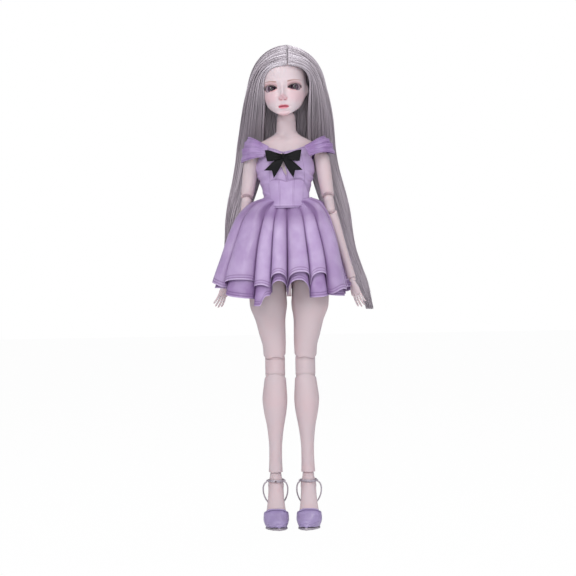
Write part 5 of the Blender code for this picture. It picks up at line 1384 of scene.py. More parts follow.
@dataclass
class Head:
    """The face with its paint, and the eyes behind its lids."""

    finish: bpy.types.Material
    glass: bpy.types.Material
    lash: bpy.types.Material
    lids: dict[Side, Eyelids] = field(
        default_factory=lambda: {side: Eyelids(side.value * EYE_OUT) for side in Side}
    )

    def skull(self, angle: Array, share: Array, grow: Array | float = 0.0) -> Array:
        """Points of the head before its pose.

        Args:
            angle: The way round from the nose towards the doll's left.
            share: The way from chin to crown.
            grow: How far outside the skull, without the face's relief.

        Returns:
            The points.
        """
        shape = np.broadcast_shapes(np.shape(angle), np.shape(share))
        angle, share = np.broadcast_to(angle, shape), np.broadcast_to(share, shape)
        wide, near, far = spline(SKULL[:, 0], SKULL[:, 1:], share.ravel()).T.reshape(3, *shape)
        near, far = SKULL_HALF[1] * near + grow, SKULL_HALF[1] * far + grow
        middle = 0.0015 + (far - near) / 2.0
        depth = np.maximum((far + near) / 2.0, 0.0003)
        z = CHIN + HEAD_LENGTH * share + grow * np.maximum(0.0, 2.0 * share - 1.0)
        return xyz((SKULL_HALF[0] * wide + grow) * np.sin(angle), middle - depth * np.cos(angle), z)

    def face(self) -> bpy.types.Object:
        """The face half of the skull: relief, sockets behind the lids, and the paint."""
        columns, rows = ((320, 250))
        even = turns(columns)
        angle = even - 0.55 * np.sin(even)
        parts = ((0.0, 0.12, rows // 5), (0.125, 0.76, rows), (0.78, 1.0, 14))
        share = np.concatenate([np.linspace(*part) for part in parts])
        points = self.skull(angle[None], share[:, None])
        facing = np.clip(np.cos(angle), 0.0, 1.0)[None]
        points[..., 2] -= 0.0017 * (1.0 - ease(share[:, None] / 0.25)) * facing
        x, z = points[..., 0], points[..., 2]
        rise = face_relief(x, z) * ease(facing * 2.2)
        ear = 0.0042 * bump(np.abs(x), 0.028, 0.004) * bump(z, 0.54, 0.0075)
        ear = ear * bump(points[..., 1], 0.002, 0.004)
        inside = np.maximum(*(lid.depth(x, z) for lid in self.lids.values()))
        rise = rise + 0.0006 * bump(inside, -0.0006, 0.0007) * facing
        for lid in self.lids.values():
            across, upper, _ = lid.edges(x)
            crease = bump(z, upper + 0.0019, 0.0005) * (np.abs(across) < 1.05)
            rise = rise - 0.0004 * crease * facing
        socket = ease(inside / 0.0005 + 0.5) * (facing > 0.2)
        points[..., 1] -= rise - 0.005 * socket
        points[..., 0] += ear * np.sign(x)
        paint, makeup = self.paint(x, z, inside, facing)
        grid = hollow(posed(points), joint_point("head_nod"), NECK_BALL * 1.04)
        piece = skin("head_resin", grid)
        ends = np.zeros(2)
        write_paint(piece, "face", np.vstack([paint.reshape(-1, 3), np.ones((2, 3))]))
        write_shade(piece, "makeup", np.concatenate([makeup.ravel(), ends]))
        self.part_cap(piece)
        return finish_piece(piece, self.finish, "head", "skin_resin", "head")

    def part_cap(self, piece: bpy.types.Object) -> None:
        """Take off what the lifting cap covers: all above a plane that falls to the back."""
        mesh = piece.data
        centres = np.empty(len(mesh.polygons) * 3)
        mesh.polygons.foreach_get("center", centres)
        centres = centres.reshape(-1, 3)
        gone = centres[:, 2] > 0.57 - math.tan(math.radians(38.0)) * centres[:, 1]
        shape = bmesh.new()
        shape.from_mesh(mesh)
        shape.faces.ensure_lookup_table()
        bmesh.ops.delete(shape, geom=[shape.faces[i] for i in np.flatnonzero(gone)], context="FACES")
        shape.to_mesh(mesh)
        shape.free()

    def paint(self, x: Array, z: Array, inside: Array, facing: Array) -> tuple[Array, Array]:
        """The face's paint: each layer is laid over the last by its own mask.

        Args:
            x: Metres to the doll's left.
            z: Metres above the floor.
            inside: How far inside the lids each point lies.
            facing: How far each point faces forward.

        Returns:
            A colour and a share of paint for each point.
        """
        away = np.abs(x)
        colour = np.broadcast_to(np.array(linear(222, 196, 200)[:3]), x.shape + (3,)).copy()
        cover = np.zeros_like(x)
        blush = 0.15 * bump(away, 0.0165, 0.0105) * bump(z, 0.5335, 0.0085)
        tip = 0.36 * bump(x, 0.0, 0.0042) * bump(z, 0.5318, 0.0034)
        tip = tip + 0.25 * bump(x, 0.0, 0.008) * bump(z, 0.51, 0.004)
        nostril = 0.85 * bump(away, 0.0024, 0.0013) * bump(z, 0.5288, 0.0008)
        nostril = nostril + 0.45 * bump(away, 0.0046, 0.0009) * bump(z, 0.5304, 0.0016)
        wide = np.sqrt(np.clip(1.0 - (away / 0.0066) ** 2, 0.0, 1.0))
        upper = (z - MOUTH) / (0.0027 * wide * (1.0 - 0.25 * bump(x, 0.0, 0.0012)) + 1e-5)
        lower = (MOUTH - z) / (0.0034 * wide + 1e-5)
        lips = ease((1.1 - np.where(z >= MOUTH, upper, lower)) / 0.45)
        lips = lips * (away < 0.0068) * (np.abs(z - MOUTH) < 0.006)
        arch = np.cos(away / 0.0068 * math.pi)
        parted = bump(z, MOUTH - 0.0002 + 0.0004 * arch, 0.00085) * ease((0.0068 - away) / 0.0022)
        line = bump(z, MOUTH + 0.0003 * arch, 0.00032) * (away < 0.0064)
        shadow, warm, liner = np.zeros_like(x), np.zeros_like(x), np.zeros_like(x)
        for lid in self.lids.values():
            across, top, bottom = lid.edges(x)
            near = ease((1.18 - np.abs(across)) / 0.2)
            shadow = shadow + 0.62 * bump(z, top + 0.001, 0.0017) * near * (z > top)
            warm = warm + 0.55 * bump(z, bottom - 0.0008, 0.0011) * near * (z < bottom + 0.0006)
            warm = warm + 0.3 * bump(z, top + 0.003, 0.0022) * near * (z > top)
            liner = liner + ease((0.00145 + 0.0004 * across - np.abs(z - top - 0.0003)) / 0.0006) * near
            below = ease((0.0007 - np.abs(z - bottom + 0.0002)) / 0.0005)
            liner = liner + 0.55 * below * near * ease((across + 0.6) / 0.6)
        along = np.clip((away - 0.0065) / 0.0185, 0.0, 1.0)
        brow_line = EYE_UP + 0.007 + 0.0016 * np.sin(along * 2.5)
        hairs = 0.75 + 0.25 * np.sin(away * 9000.0 + z * 7000.0)
        brow = ease((0.00115 * (1.15 - 0.6 * along) - np.abs(z - brow_line)) / 0.0009) * hairs
        brow = brow * ease((away - 0.006) / 0.002) * ease((0.025 - away) / 0.003)
        for mask, shade in (
            (blush, (216, 158, 178)), (tip, (218, 150, 160)), (nostril, (176, 92, 100)),
            (warm, (196, 128, 128)), (shadow, (120, 76, 84)), (brow * 0.95, (150, 106, 88)),
            (lips * 0.7, (212, 100, 124)), (parted * 0.85, (176, 36, 62)), (line * 0.8, (120, 20, 40)),
            (liner, (30, 16, 22)),
        ):
            part = np.clip(mask, 0.0, 1.0) * (facing > 0.0)
            colour = colour * (1.0 - part[..., None]) + np.array(linear(*shade)[:3]) * part[..., None]
            cover = np.maximum(cover, part)
        return colour, ease(np.maximum(cover, inside > 0.0) / 0.12)

    def eyes(self) -> None:
        """Each eyeball, painted from its pupil out by how far a point lies off its axis."""
        for side in Side:
            centre = np.array([side.value * (EYE_OUT - 0.0004), 0.0, EYE_UP + 0.0001])
            front = float(self.skull(np.array([math.asin(0.51)]), np.array([0.416]))[0, 1])
            centre[1] = front + 0.0016 + 0.0075
            grid = ball_grid(np.zeros(3), 1.0, 90, 120)
            grid = xyz(grid[..., 0], -grid[..., 2], grid[..., 1])
            gaze = np.array([math.sin(GAZE), -math.cos(GAZE), -0.02])
            off = np.degrees(np.arccos(np.clip(grid @ gaze, -1.0, 1.0)))
            cornea = 1.0 + 0.07 * bump(off, 0.0, 26.0)
            points = posed(centre + 0.0075 * cornea[..., None] * grid)
            piece = skin(f"eye_{side.word}_glass", points)
            white, rim = np.array(linear(152, 132, 144)[:3]), np.array(linear(26, 12, 20)[:3])
            ring = np.array(linear(66, 42, 58)[:3])
            iris = ease((41.0 - off) / 4.0)[..., None]
            inner = ease((33.0 - off) / 10.0)[..., None]
            pupil = ease((15.0 - off) / 3.0)[..., None]
            colour = white * (1 - iris) + iris * (rim * (1 - inner) + inner * ring)
            colour = colour * (1 - pupil) + pupil * np.array([0.004, 0.003, 0.004])
            pad = np.zeros(2)
            write_paint(piece, "face", np.vstack([colour.reshape(-1, 3), white, white]))
            write_shade(piece, "iris", np.concatenate([(iris * (1 - pupil)).ravel(), pad]))
            finish_piece(piece, self.glass, "head", "eye_glass", f"eye_{side.word}")

    def lashes(self) -> None:
        """A fan of lashes on each upper lid, longer towards the temple."""
        paths = []
        for side, lid in self.lids.items():
            place = np.linspace(-0.92, 1.06, 44)
            x = lid.centre + place * lid.half_width * side.value
            _, upper, _ = lid.edges(x)
            angle = np.arcsin(np.clip(x / SKULL_HALF[0], -0.99, 0.99))
            base = self.skull(angle, (upper - CHIN) / HEAD_LENGTH)
            base[:, 1] -= face_relief(base[:, 0], base[:, 2]) + 0.0003
            base[:, 0], base[:, 2] = x, upper
            length = (0.0018 + 0.0016 * ease(place * 0.5 + 0.5))[:, None, None]
            way = np.linspace(0.0, 1.0, 6)[None, :, None]
            out = xyz(side.value * 0.45 * (place + 0.2), -0.75, 0.25)[:, None]
            up = np.array([0.0, 0.0, 0.55])
            paths.append(base[:, None] + length * (out * way + up * way**2))
        path = posed(np.concatenate(paths))
        thick = np.broadcast_to(0.00016 * (1.05 - np.linspace(0.0, 1.0, 6)), path.shape[:2])
        piece = tubes("lashes", path, thick, thick, 5, posed(np.array([0.0, 0.05, EYE_UP])))
        finish_piece(piece, self.lash, "head", "silver_hair")


# Height, inner edge, outer edge, front and back of each fall of hair
LEFT_FALL = np.array([
    (0.545, 0.03, 0.051, -0.014, 0.034), (0.53, 0.0275, 0.056, -0.01, 0.034),
    (0.505, 0.026, 0.061, 0.006, 0.036), (0.48, 0.025, 0.062, 0.024, 0.039),
    (0.457, 0.027, 0.0645, 0.025, 0.039), (0.419, 0.034, 0.0755, 0.026, 0.039),
    (0.39, 0.046, 0.0835, 0.029, 0.041), (0.36, 0.06, 0.084, 0.038, 0.048),
    (0.33, 0.074, 0.092, 0.042, 0.052), (0.3, 0.085, 0.104, 0.044, 0.054),
    (0.268, 0.098, 0.108, 0.046, 0.052),
])
RIGHT_FALL = np.array([
    (0.545, 0.0275, 0.048, -0.014, 0.034), (0.53, 0.025, 0.053, -0.01, 0.034),
    (0.505, 0.027, 0.058, 0.006, 0.036), (0.48, 0.027, 0.064, 0.024, 0.039),
    (0.457, 0.027, 0.0665, 0.026, 0.04), (0.419, 0.036, 0.076, 0.028, 0.042),
    (0.39, 0.049, 0.0815, 0.034, 0.046), (0.345, 0.07, 0.083, 0.044, 0.052),
])
BACK_FALL = np.array([
    (0.545, -0.034, 0.034, 0.036, 0.047), (0.52, -0.034, 0.034, 0.034, 0.052),
    (0.49, -0.031, 0.031, 0.032, 0.051), (0.45, -0.031, 0.031, 0.03, 0.049),
    (0.42, -0.033, 0.033, 0.034, 0.051), (0.397, -0.032, 0.032, 0.044, 0.056),
])
CROWN = np.array([0.0, 0.003, 0.547])


@dataclass
class Hair:
    """The wig: locks that leave a middle parting, sweep over the skull on an egg-shaped
    shell and then hang in a left, a right and a back fall."""

    finish: bpy.types.Material
    count: int = 1000

    def sweep(self, roots: Array, ends: Array, steps: int) -> Array:
        """Arcs on the shell from the parting to the top of a fall. Each is turned evenly
        from the first direction to the last, both measured in shares of the shell's axes.

        Args:
            roots: First directions.
            ends: Last points.
            steps: Points in an arc.

        Returns:
            The arcs.
        """
        axes = np.where(ends[:, :1] > 0.0, [[0.05, 0.0425, 0.0545]], [[0.0465, 0.0425, 0.0545]])
        last = (ends - CROWN) / axes
        reach = np.linalg.norm(last, axis=1, keepdims=True)
        last = last / reach
        first = roots / np.linalg.norm(roots, axis=1, keepdims=True)
        wide = np.arccos(np.clip((first * last).sum(axis=1), -1.0, 1.0))[:, None, None]
        way = np.linspace(0.0, 1.0, steps)[None, :, None]
        turn = (np.sin((1 - way) * wide) * first[:, None] + np.sin(way * wide) * last[:, None]) / np.sin(wide)
        front = ease((-first[:, 1] - 0.3) / 0.45)[:, None, None] * np.sin(math.pi * way)
        turn = turn + front * xyz(0.14 * np.sign(last[:, :1]), 0.0, 0.17)
        turn = turn / np.linalg.norm(turn, axis=-1, keepdims=True)
        size = 0.985 + (reach[:, None] - 0.985) * way**1.5
        shell = turn * size * axes[:, None]
        shell[..., 1] *= np.where(shell[..., 1] < 0.0, 0.95, 1.0)
        return CROWN + shell

    def locks(
        self, fall: Array, sign: float, roots: tuple[float, float], rng: np.random.Generator, count: int
    ) -> tuple[Array, Array]:
        """Paths and half widths of the locks of one fall.

        Args:
            fall: Its table of edges.
            sign: The side of its outer edge.
            roots: Degrees from the crown, forward below 0, between which it leaves the parting.
            rng: The random source.
            count: Locks.

        Returns:
            The paths, and half a lock's width at each point.
        """
        across, deep, tip = rng.random(count), rng.random(count) ** 0.8, rng.random(count)
        lowest = fall[-1, 0] + (fall[0, 0] - fall[-1, 0]) * 0.3 * tip**2.6
        way = np.linspace(0.0, 1.0, 44)
        height = fall[0, 0] + (lowest - fall[0, 0])[:, None] * way
        edges = spline(fall[::-1, 0], fall[::-1, 1:], height.ravel()).reshape(count, 44, 4)
        curl = rng.random(count)[:, None] * math.tau + height * 95.0
        gather = 0.5 + (across[:, None] - 0.5) * (1.0 - 0.25 * way)
        x = sign * (edges[..., 0] + (edges[..., 1] - edges[..., 0]) * gather) + 0.0011 * np.sin(curl) * way
        y = edges[..., 2] + (edges[..., 3] - edges[..., 2]) * deep[:, None] + 0.001 * np.cos(curl * 0.8) * way
        hang = xyz(x, y, height)
        order = np.argsort(np.argsort(across * 0.45 + deep * 0.55 + rng.normal(0.0, 0.05, count))) / count
        root = np.radians(roots[0] + (roots[1] - roots[0]) * order)
        first = xyz(0.055 + 0.01 * sign, np.sin(root), np.cos(root))
        head = self.sweep(first, hang[:, 0], 22)
        layer = 1.0 - 0.035 * rng.random(count)[:, None, None]
        head = CROWN + (head - CROWN) * layer
        path = np.concatenate([head[:, :-1], hang], axis=1)
        for _ in range(14):
            path[:, 1:-1] = 0.5 * path[:, 1:-1] + 0.25 * (path[:, 2:] + path[:, :-2])
        share = np.linspace(0.0, 1.0, path.shape[1])
        half = (0.00085 + 0.0007 * rng.random(count))[:, None] * np.clip(share / 0.04, 0.6, 1.0)
        return path, half * np.clip((1.0 - share) / 0.1, 0.05, 1.0) ** 0.6

    def build(self) -> None:
        """Make the falls as four pieces of locks, each lock with its own shade and the back falls painted
        lighter.
        """
        rng = np.random.default_rng(41)
        count = self.count // 1
        inner = np.array([0.0, 0.004, 0.0])
        for name, fall, sign, roots, share in (
            ("hair_left_fall", LEFT_FALL, 1.0, (-62.0, 40.0), 1.0),
            ("hair_right_fall", RIGHT_FALL, -1.0, (-62.0, 40.0), 1.0),
            ("hair_back_left", BACK_FALL, 1.0, (15.0, 62.0), 0.6),
            ("hair_back_right", BACK_FALL, -1.0, (15.0, 62.0), 0.6),
        ):
            path, half = self.locks(fall, sign, roots, rng, int(count * share))
            middle = path * np.array([0.0, 0.0, 1.0]) + inner
            middle[..., 2] = np.minimum(middle[..., 2], fall[0, 0])
            piece = tubes(name, path, half, half * 0.28, 4, middle)
            lock, steps = path.shape[:2]
            # Painted light: the back falls, which lie in shade behind the neck, get a lighter mean tone than
            # the side falls.
            tone_and_painted_light = np.clip(rng.normal(0.4 + 0.4 * (share < 1.0), 0.15, lock), 0.0, 1.0)
            write_shade(piece, "tone_and_painted_light", np.repeat(tone_and_painted_light, steps * 4))
            write_shade(piece, "way", np.tile(np.repeat(np.linspace(0.0, 1.0, steps), 4), lock))
            nodes = ("hair",) if name == "hair_left_fall" else ()
            finish_piece(piece, self.finish, Bend("head_hook", "head", 0.5, 0.56), "silver_hair", *nodes)


# Dress


def lie_flat(grid: Array) -> Array:
    """A flat place for each point of a grid: the mean way along its row, centred, and the
    way down its column.

    Args:
        grid: Rows by columns of points.

    Returns:
        Two numbers for each point.
    """
    along = np.linalg.norm(np.diff(grid, axis=1), axis=-1)
    down = np.linalg.norm(np.diff(grid, axis=0), axis=-1)
    across = np.pad(np.cumsum(np.maximum(along, along.mean(axis=0)), axis=1), ((0, 0), (1, 0)))
    fall = np.pad(np.cumsum(down, axis=0), ((1, 0), (0, 0)))
    return np.stack([across - across[:, -1:] / 2.0, fall], -1)


def sheet_area(grid: Array) -> float:
    """Area of a grid: half the length of the cross product of each quad's diagonals."""
    one, other = grid[1:, 1:] - grid[:-1, :-1], grid[1:, :-1] - grid[:-1, 1:]
    return float(np.linalg.norm(np.cross(one, other), axis=-1).sum() / 2.0)


def hem_line(distance: Array, rows: Sequence[float], width: float = 0.00035) -> Array:
    """A mask of stitched lines that run at given distances from an edge."""
    return np.clip(sum(bump(distance, row, width) for row in rows), 0.0, 1.0)


@dataclass
class Garment:
    """A piece of the dress that is a thin sheet."""

    name: str
    finish: bpy.types.Material
    slot: str
    body: str | Bend
    thickness: float = 0.0004

    def sew(
        self, grid: Array, closed: bool, stitch: Array, held: str, rests: Sequence[str], *nodes: str,
        painted_fold_shade: Array | None = None, rim: Array | None = None,
    ) -> bpy.types.Object:
        """Make the sheet, with its flat map, its stitches, its painted fold shade and its painted rim
        highlight.

        Args:
            grid: Rows by columns of its outer face.
            closed: Whether its rows are rings.
            stitch: The mask of its sewn lines, one number for each point.
            held: The frame's word for the way that it hangs; not used.
            rests: What it rests on; not used.
            *nodes: Nodes of the frame that it replaces.
            painted_fold_shade: Painted shade, from 0 to 1, darkest deep in each fold.
            rim: How far each point lies from the turned edge, which sets a painted highlight along it.

        Returns:
            The piece.
        """
        piece = cloth(self.name, grid, self.thickness, closed, lie_flat(grid))
        write_shade(piece, "stitch", np.concatenate([stitch.ravel(), np.zeros(stitch.size)]))
        # Painted highlight: a pale band within about a millimetre of the turned edge, on both faces.
        painted_rim_highlight = np.broadcast_to(np.zeros(1) if rim is None else bump(rim, 0.0, 0.001), grid.shape[:2]).ravel()
        write_shade(piece, "rim", np.concatenate([painted_rim_highlight, painted_rim_highlight]))
        # Painted shade in the folds, on both faces.
        deep = np.broadcast_to(np.zeros(1) if painted_fold_shade is None else painted_fold_shade, grid.shape[:2]).ravel()
        write_shade(piece, "painted_fold_shade", np.concatenate([deep, deep]))
        ring = np.concatenate([grid, grid[:, :1]], axis=1) if closed else grid
        width = float(np.linalg.norm(np.diff(ring, axis=1), axis=-1).sum(axis=1).max())
        length = float(np.linalg.norm(np.diff(grid, axis=0), axis=-1).sum(axis=0).max())
        finish_piece(piece, self.finish, self.body, self.slot, *nodes)
        sheet_area(ring)
        return piece


# Degrees from the front at which the skirt's folds turn in, round to the same fold again
FOLDS = np.array([
    -98.0, -58.0, -29.0, -15.0, -1.0, 17.5, 33.0, 58.0, 82.0, 108.0, 134.0, 158.0, 182.0, 208.0, 235.0, 262.0,
])
# Degrees from the front and height of the outer skirt's hem
OUTER_HEM = np.array([
    (-98.0, 0.3), (-78.0, 0.306), (-60.0, 0.2985), (-56.0, 0.302), (-44.0, 0.3078), (-31.0, 0.3045),
    (-28.0, 0.2985), (-22.0, 0.301), (-16.0, 0.2975), (-13.5, 0.3065), (-8.0, 0.315), (-3.0, 0.307),
    (-1.0, 0.299), (1.5, 0.307), (8.5, 0.3163), (15.5, 0.3085), (17.5, 0.299), (20.0, 0.308), (25.5, 0.315),
    (31.0, 0.306), (33.5, 0.29), (37.0, 0.2885), (46.0, 0.2945), (58.0, 0.2925), (70.0, 0.3), (82.0, 0.3),
    (95.0, 0.306), (108.0, 0.299), (121.0, 0.307), (134.0, 0.3), (146.0, 0.307), (158.0, 0.3),
    (170.0, 0.307), (182.0, 0.3), (195.0, 0.307), (208.0, 0.3), (221.0, 0.307), (235.0, 0.3),
    (248.0, 0.306), (262.0, 0.3),
])
UNDER_HEM = np.array([
    (-98.0, 0.292), (-78.0, 0.298), (-58.0, 0.2955), (-50.0, 0.289), (-40.0, 0.285), (-29.5, 0.2825),
    (-28.0, 0.276), (-22.0, 0.275), (-20.5, 0.285), (-16.0, 0.289), (-13.5, 0.297), (-8.0, 0.3055),
    (-3.0, 0.297), (-1.0, 0.2875), (1.5, 0.297), (8.5, 0.3065), (14.0, 0.296), (17.5, 0.2845),
    (25.0, 0.285), (33.0, 0.2875), (46.0, 0.286), (58.0, 0.2865), (70.0, 0.29), (82.0, 0.292),
    (95.0, 0.297), (108.0, 0.291), (121.0, 0.298), (134.0, 0.292), (146.0, 0.298), (158.0, 0.291),
    (170.0, 0.298), (182.0, 0.291), (195.0, 0.298), (208.0, 0.292), (221.0, 0.298), (235.0, 0.291),
    (248.0, 0.297), (262.0, 0.292),
])
# Degrees from the front at which the skirt gives way to the arms or swells, and how far
ARM_DENTS = (
    (82.0, -0.027), (62.0, -0.0075), (262.0, -0.027), (-98.0, -0.027), (112.0, -0.005), (-68.0, 0.007),
)
# Height, half width, half depth at the sides and back, depth of the front, size of the folds
SKIRT = np.array([
    (0.27, 0.099, 0.077, 0.072, 0.015), (0.3, 0.0905, 0.07, 0.0655, 0.0138),
    (0.325, 0.084, 0.0645, 0.06, 0.012), (0.35, 0.0765, 0.0585, 0.0545, 0.0098),
    (0.37, 0.069, 0.053, 0.048, 0.0074), (0.385, 0.0615, 0.0475, 0.035, 0.005),
    (0.394, 0.053, 0.0405, 0.0212, 0.0028), (0.4, 0.043, 0.031, 0.0176, 0.0014),
    (0.404, 0.03, 0.0215, 0.0168, 0.0004),
])


@dataclass
class Skirt(Garment):
    """One layer of the skirt: a flared ring that falls in rounded flutes between sharp folds
    and gives way to the forearms at both sides."""

    hem: Array = field(default_factory=lambda: OUTER_HEM)
    inset: float = 0.0
    top: float = 0.4045
    tuck: float = 0.0

    def build(self, *nodes: str) -> bpy.types.Object:
        """Make the layer.

        Args:
            *nodes: Nodes of the frame that it replaces.

        Returns:
            The piece.
        """
        each, rows = ((24, 72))
        panels = len(FOLDS) - 1
        place = (np.arange(panels)[:, None] + (np.arange(each) / each)[None]).ravel()
        within = place % 1.0
        start, width = FOLDS[place.astype(int)], np.diff(FOLDS)[place.astype(int)]
        flute = np.sin(math.pi * within) ** 0.62
        down = np.concatenate([np.linspace(0.0, 0.9, rows), np.linspace(0.903, 1.0, 28)])[:, None]
        hem = spline(self.hem[:, 0], self.hem[:, 1], start + width * within)[:, 0]
        height = self.top + (hem - self.top) * (0.12 * down + 0.88 * down**1.15)
        table = spline(SKIRT[:, 0], SKIRT[:, 1:], height.ravel()).reshape(*height.shape, 4)
        curl = 0.135 * ease(down / 0.35)
        degrees = start + width * (within - curl * np.sin(math.tau * within))
        front = ease((42.0 - np.abs(degrees - 1.0)) / 20.0)
        wide = table[..., 0]
        deep = table[..., 1] * (1.0 - front) + table[..., 2] * front
        size = table[..., 3] * (0.55 + 0.45 * np.minimum(width / 26.0, 1.0))
        grow = size * (flute - 0.62) - self.inset * ease(down / 0.12) - self.tuck
        grow = grow + self.give(degrees, height)
        grow = grow + 0.00065 * np.sin(np.radians(degrees) * 88.0) * bump(height, 0.4, 0.009)
        grow = grow + 0.0011 * np.sin(np.radians(degrees) * 5.0 + down * 7.0) * ease(down * 1.6)
        angle = np.radians(degrees)
        grid = xyz((wide + grow) * np.sin(angle), SETBACK - (deep + grow) * np.cos(angle), height)
        grid[..., 2] += 0.0052 * np.sin(angle) ** 2 * ease((height - 0.37) / 0.034)
        edge = (self.top - hem) * (1.0 - down) * 1.05
        # Painted shade: darker deep in each fold, over one half of each panel by turns and in a band just
        # below the waist; it fades out at the waist's edge.
        shaded = np.where(place.astype(int) % 2 == 1, within, 1.0 - within)
        deep = (1.0 - flute) ** 0.85 + 0.42 * ease((shaded - 0.35) / 0.6) + 0.4 * bump(height, 0.388, 0.011)
        deep = np.clip(deep, 0.0, 1.0) * ease(down / 0.04)
        stitch = hem_line(edge, (0.0024, 0.0052), 0.00055)
        # The fold mask is painted shade, and the edge's distance sets a painted highlight along the hem.
        return self.sew(grid, True, stitch, "hung", ["pelvis"], *nodes, painted_fold_shade=deep, rim=edge)

    def give(self, degrees: Array, height: Array) -> Array:
        """How far the skirt gives way to the arms, as dents of 15 degrees that deepen
        towards the hem, and swells beside them.

        Args:
            degrees: The way round from the front.
            height: Metres above the floor.

        Returns:
            The move out, in metres.
        """
        heights = (0.27, 0.308, 0.335, 0.365, 0.385, 0.396, 0.4032)
        share = spline(heights, (1.05, 1.0, 0.87, 0.69, 0.45, 0.22, 0.0), height.ravel())
        move = np.zeros_like(height)
        for at, rise in ARM_DENTS:
            move = move + rise * bump(degrees, at, 15.0)
        return move * share.reshape(height.shape)


# Degrees from the front and height of the bodice's upper edge
NECKLINE = np.array([
    (0.0, 0.4655), (12.0, 0.4672), (26.0, 0.47), (38.0, 0.4722), (50.0, 0.47), (66.0, 0.46), (90.0, 0.453),
    (120.0, 0.456), (150.0, 0.4595), (180.0, 0.4605),
])
CHEST_ASIDE = -0.0044


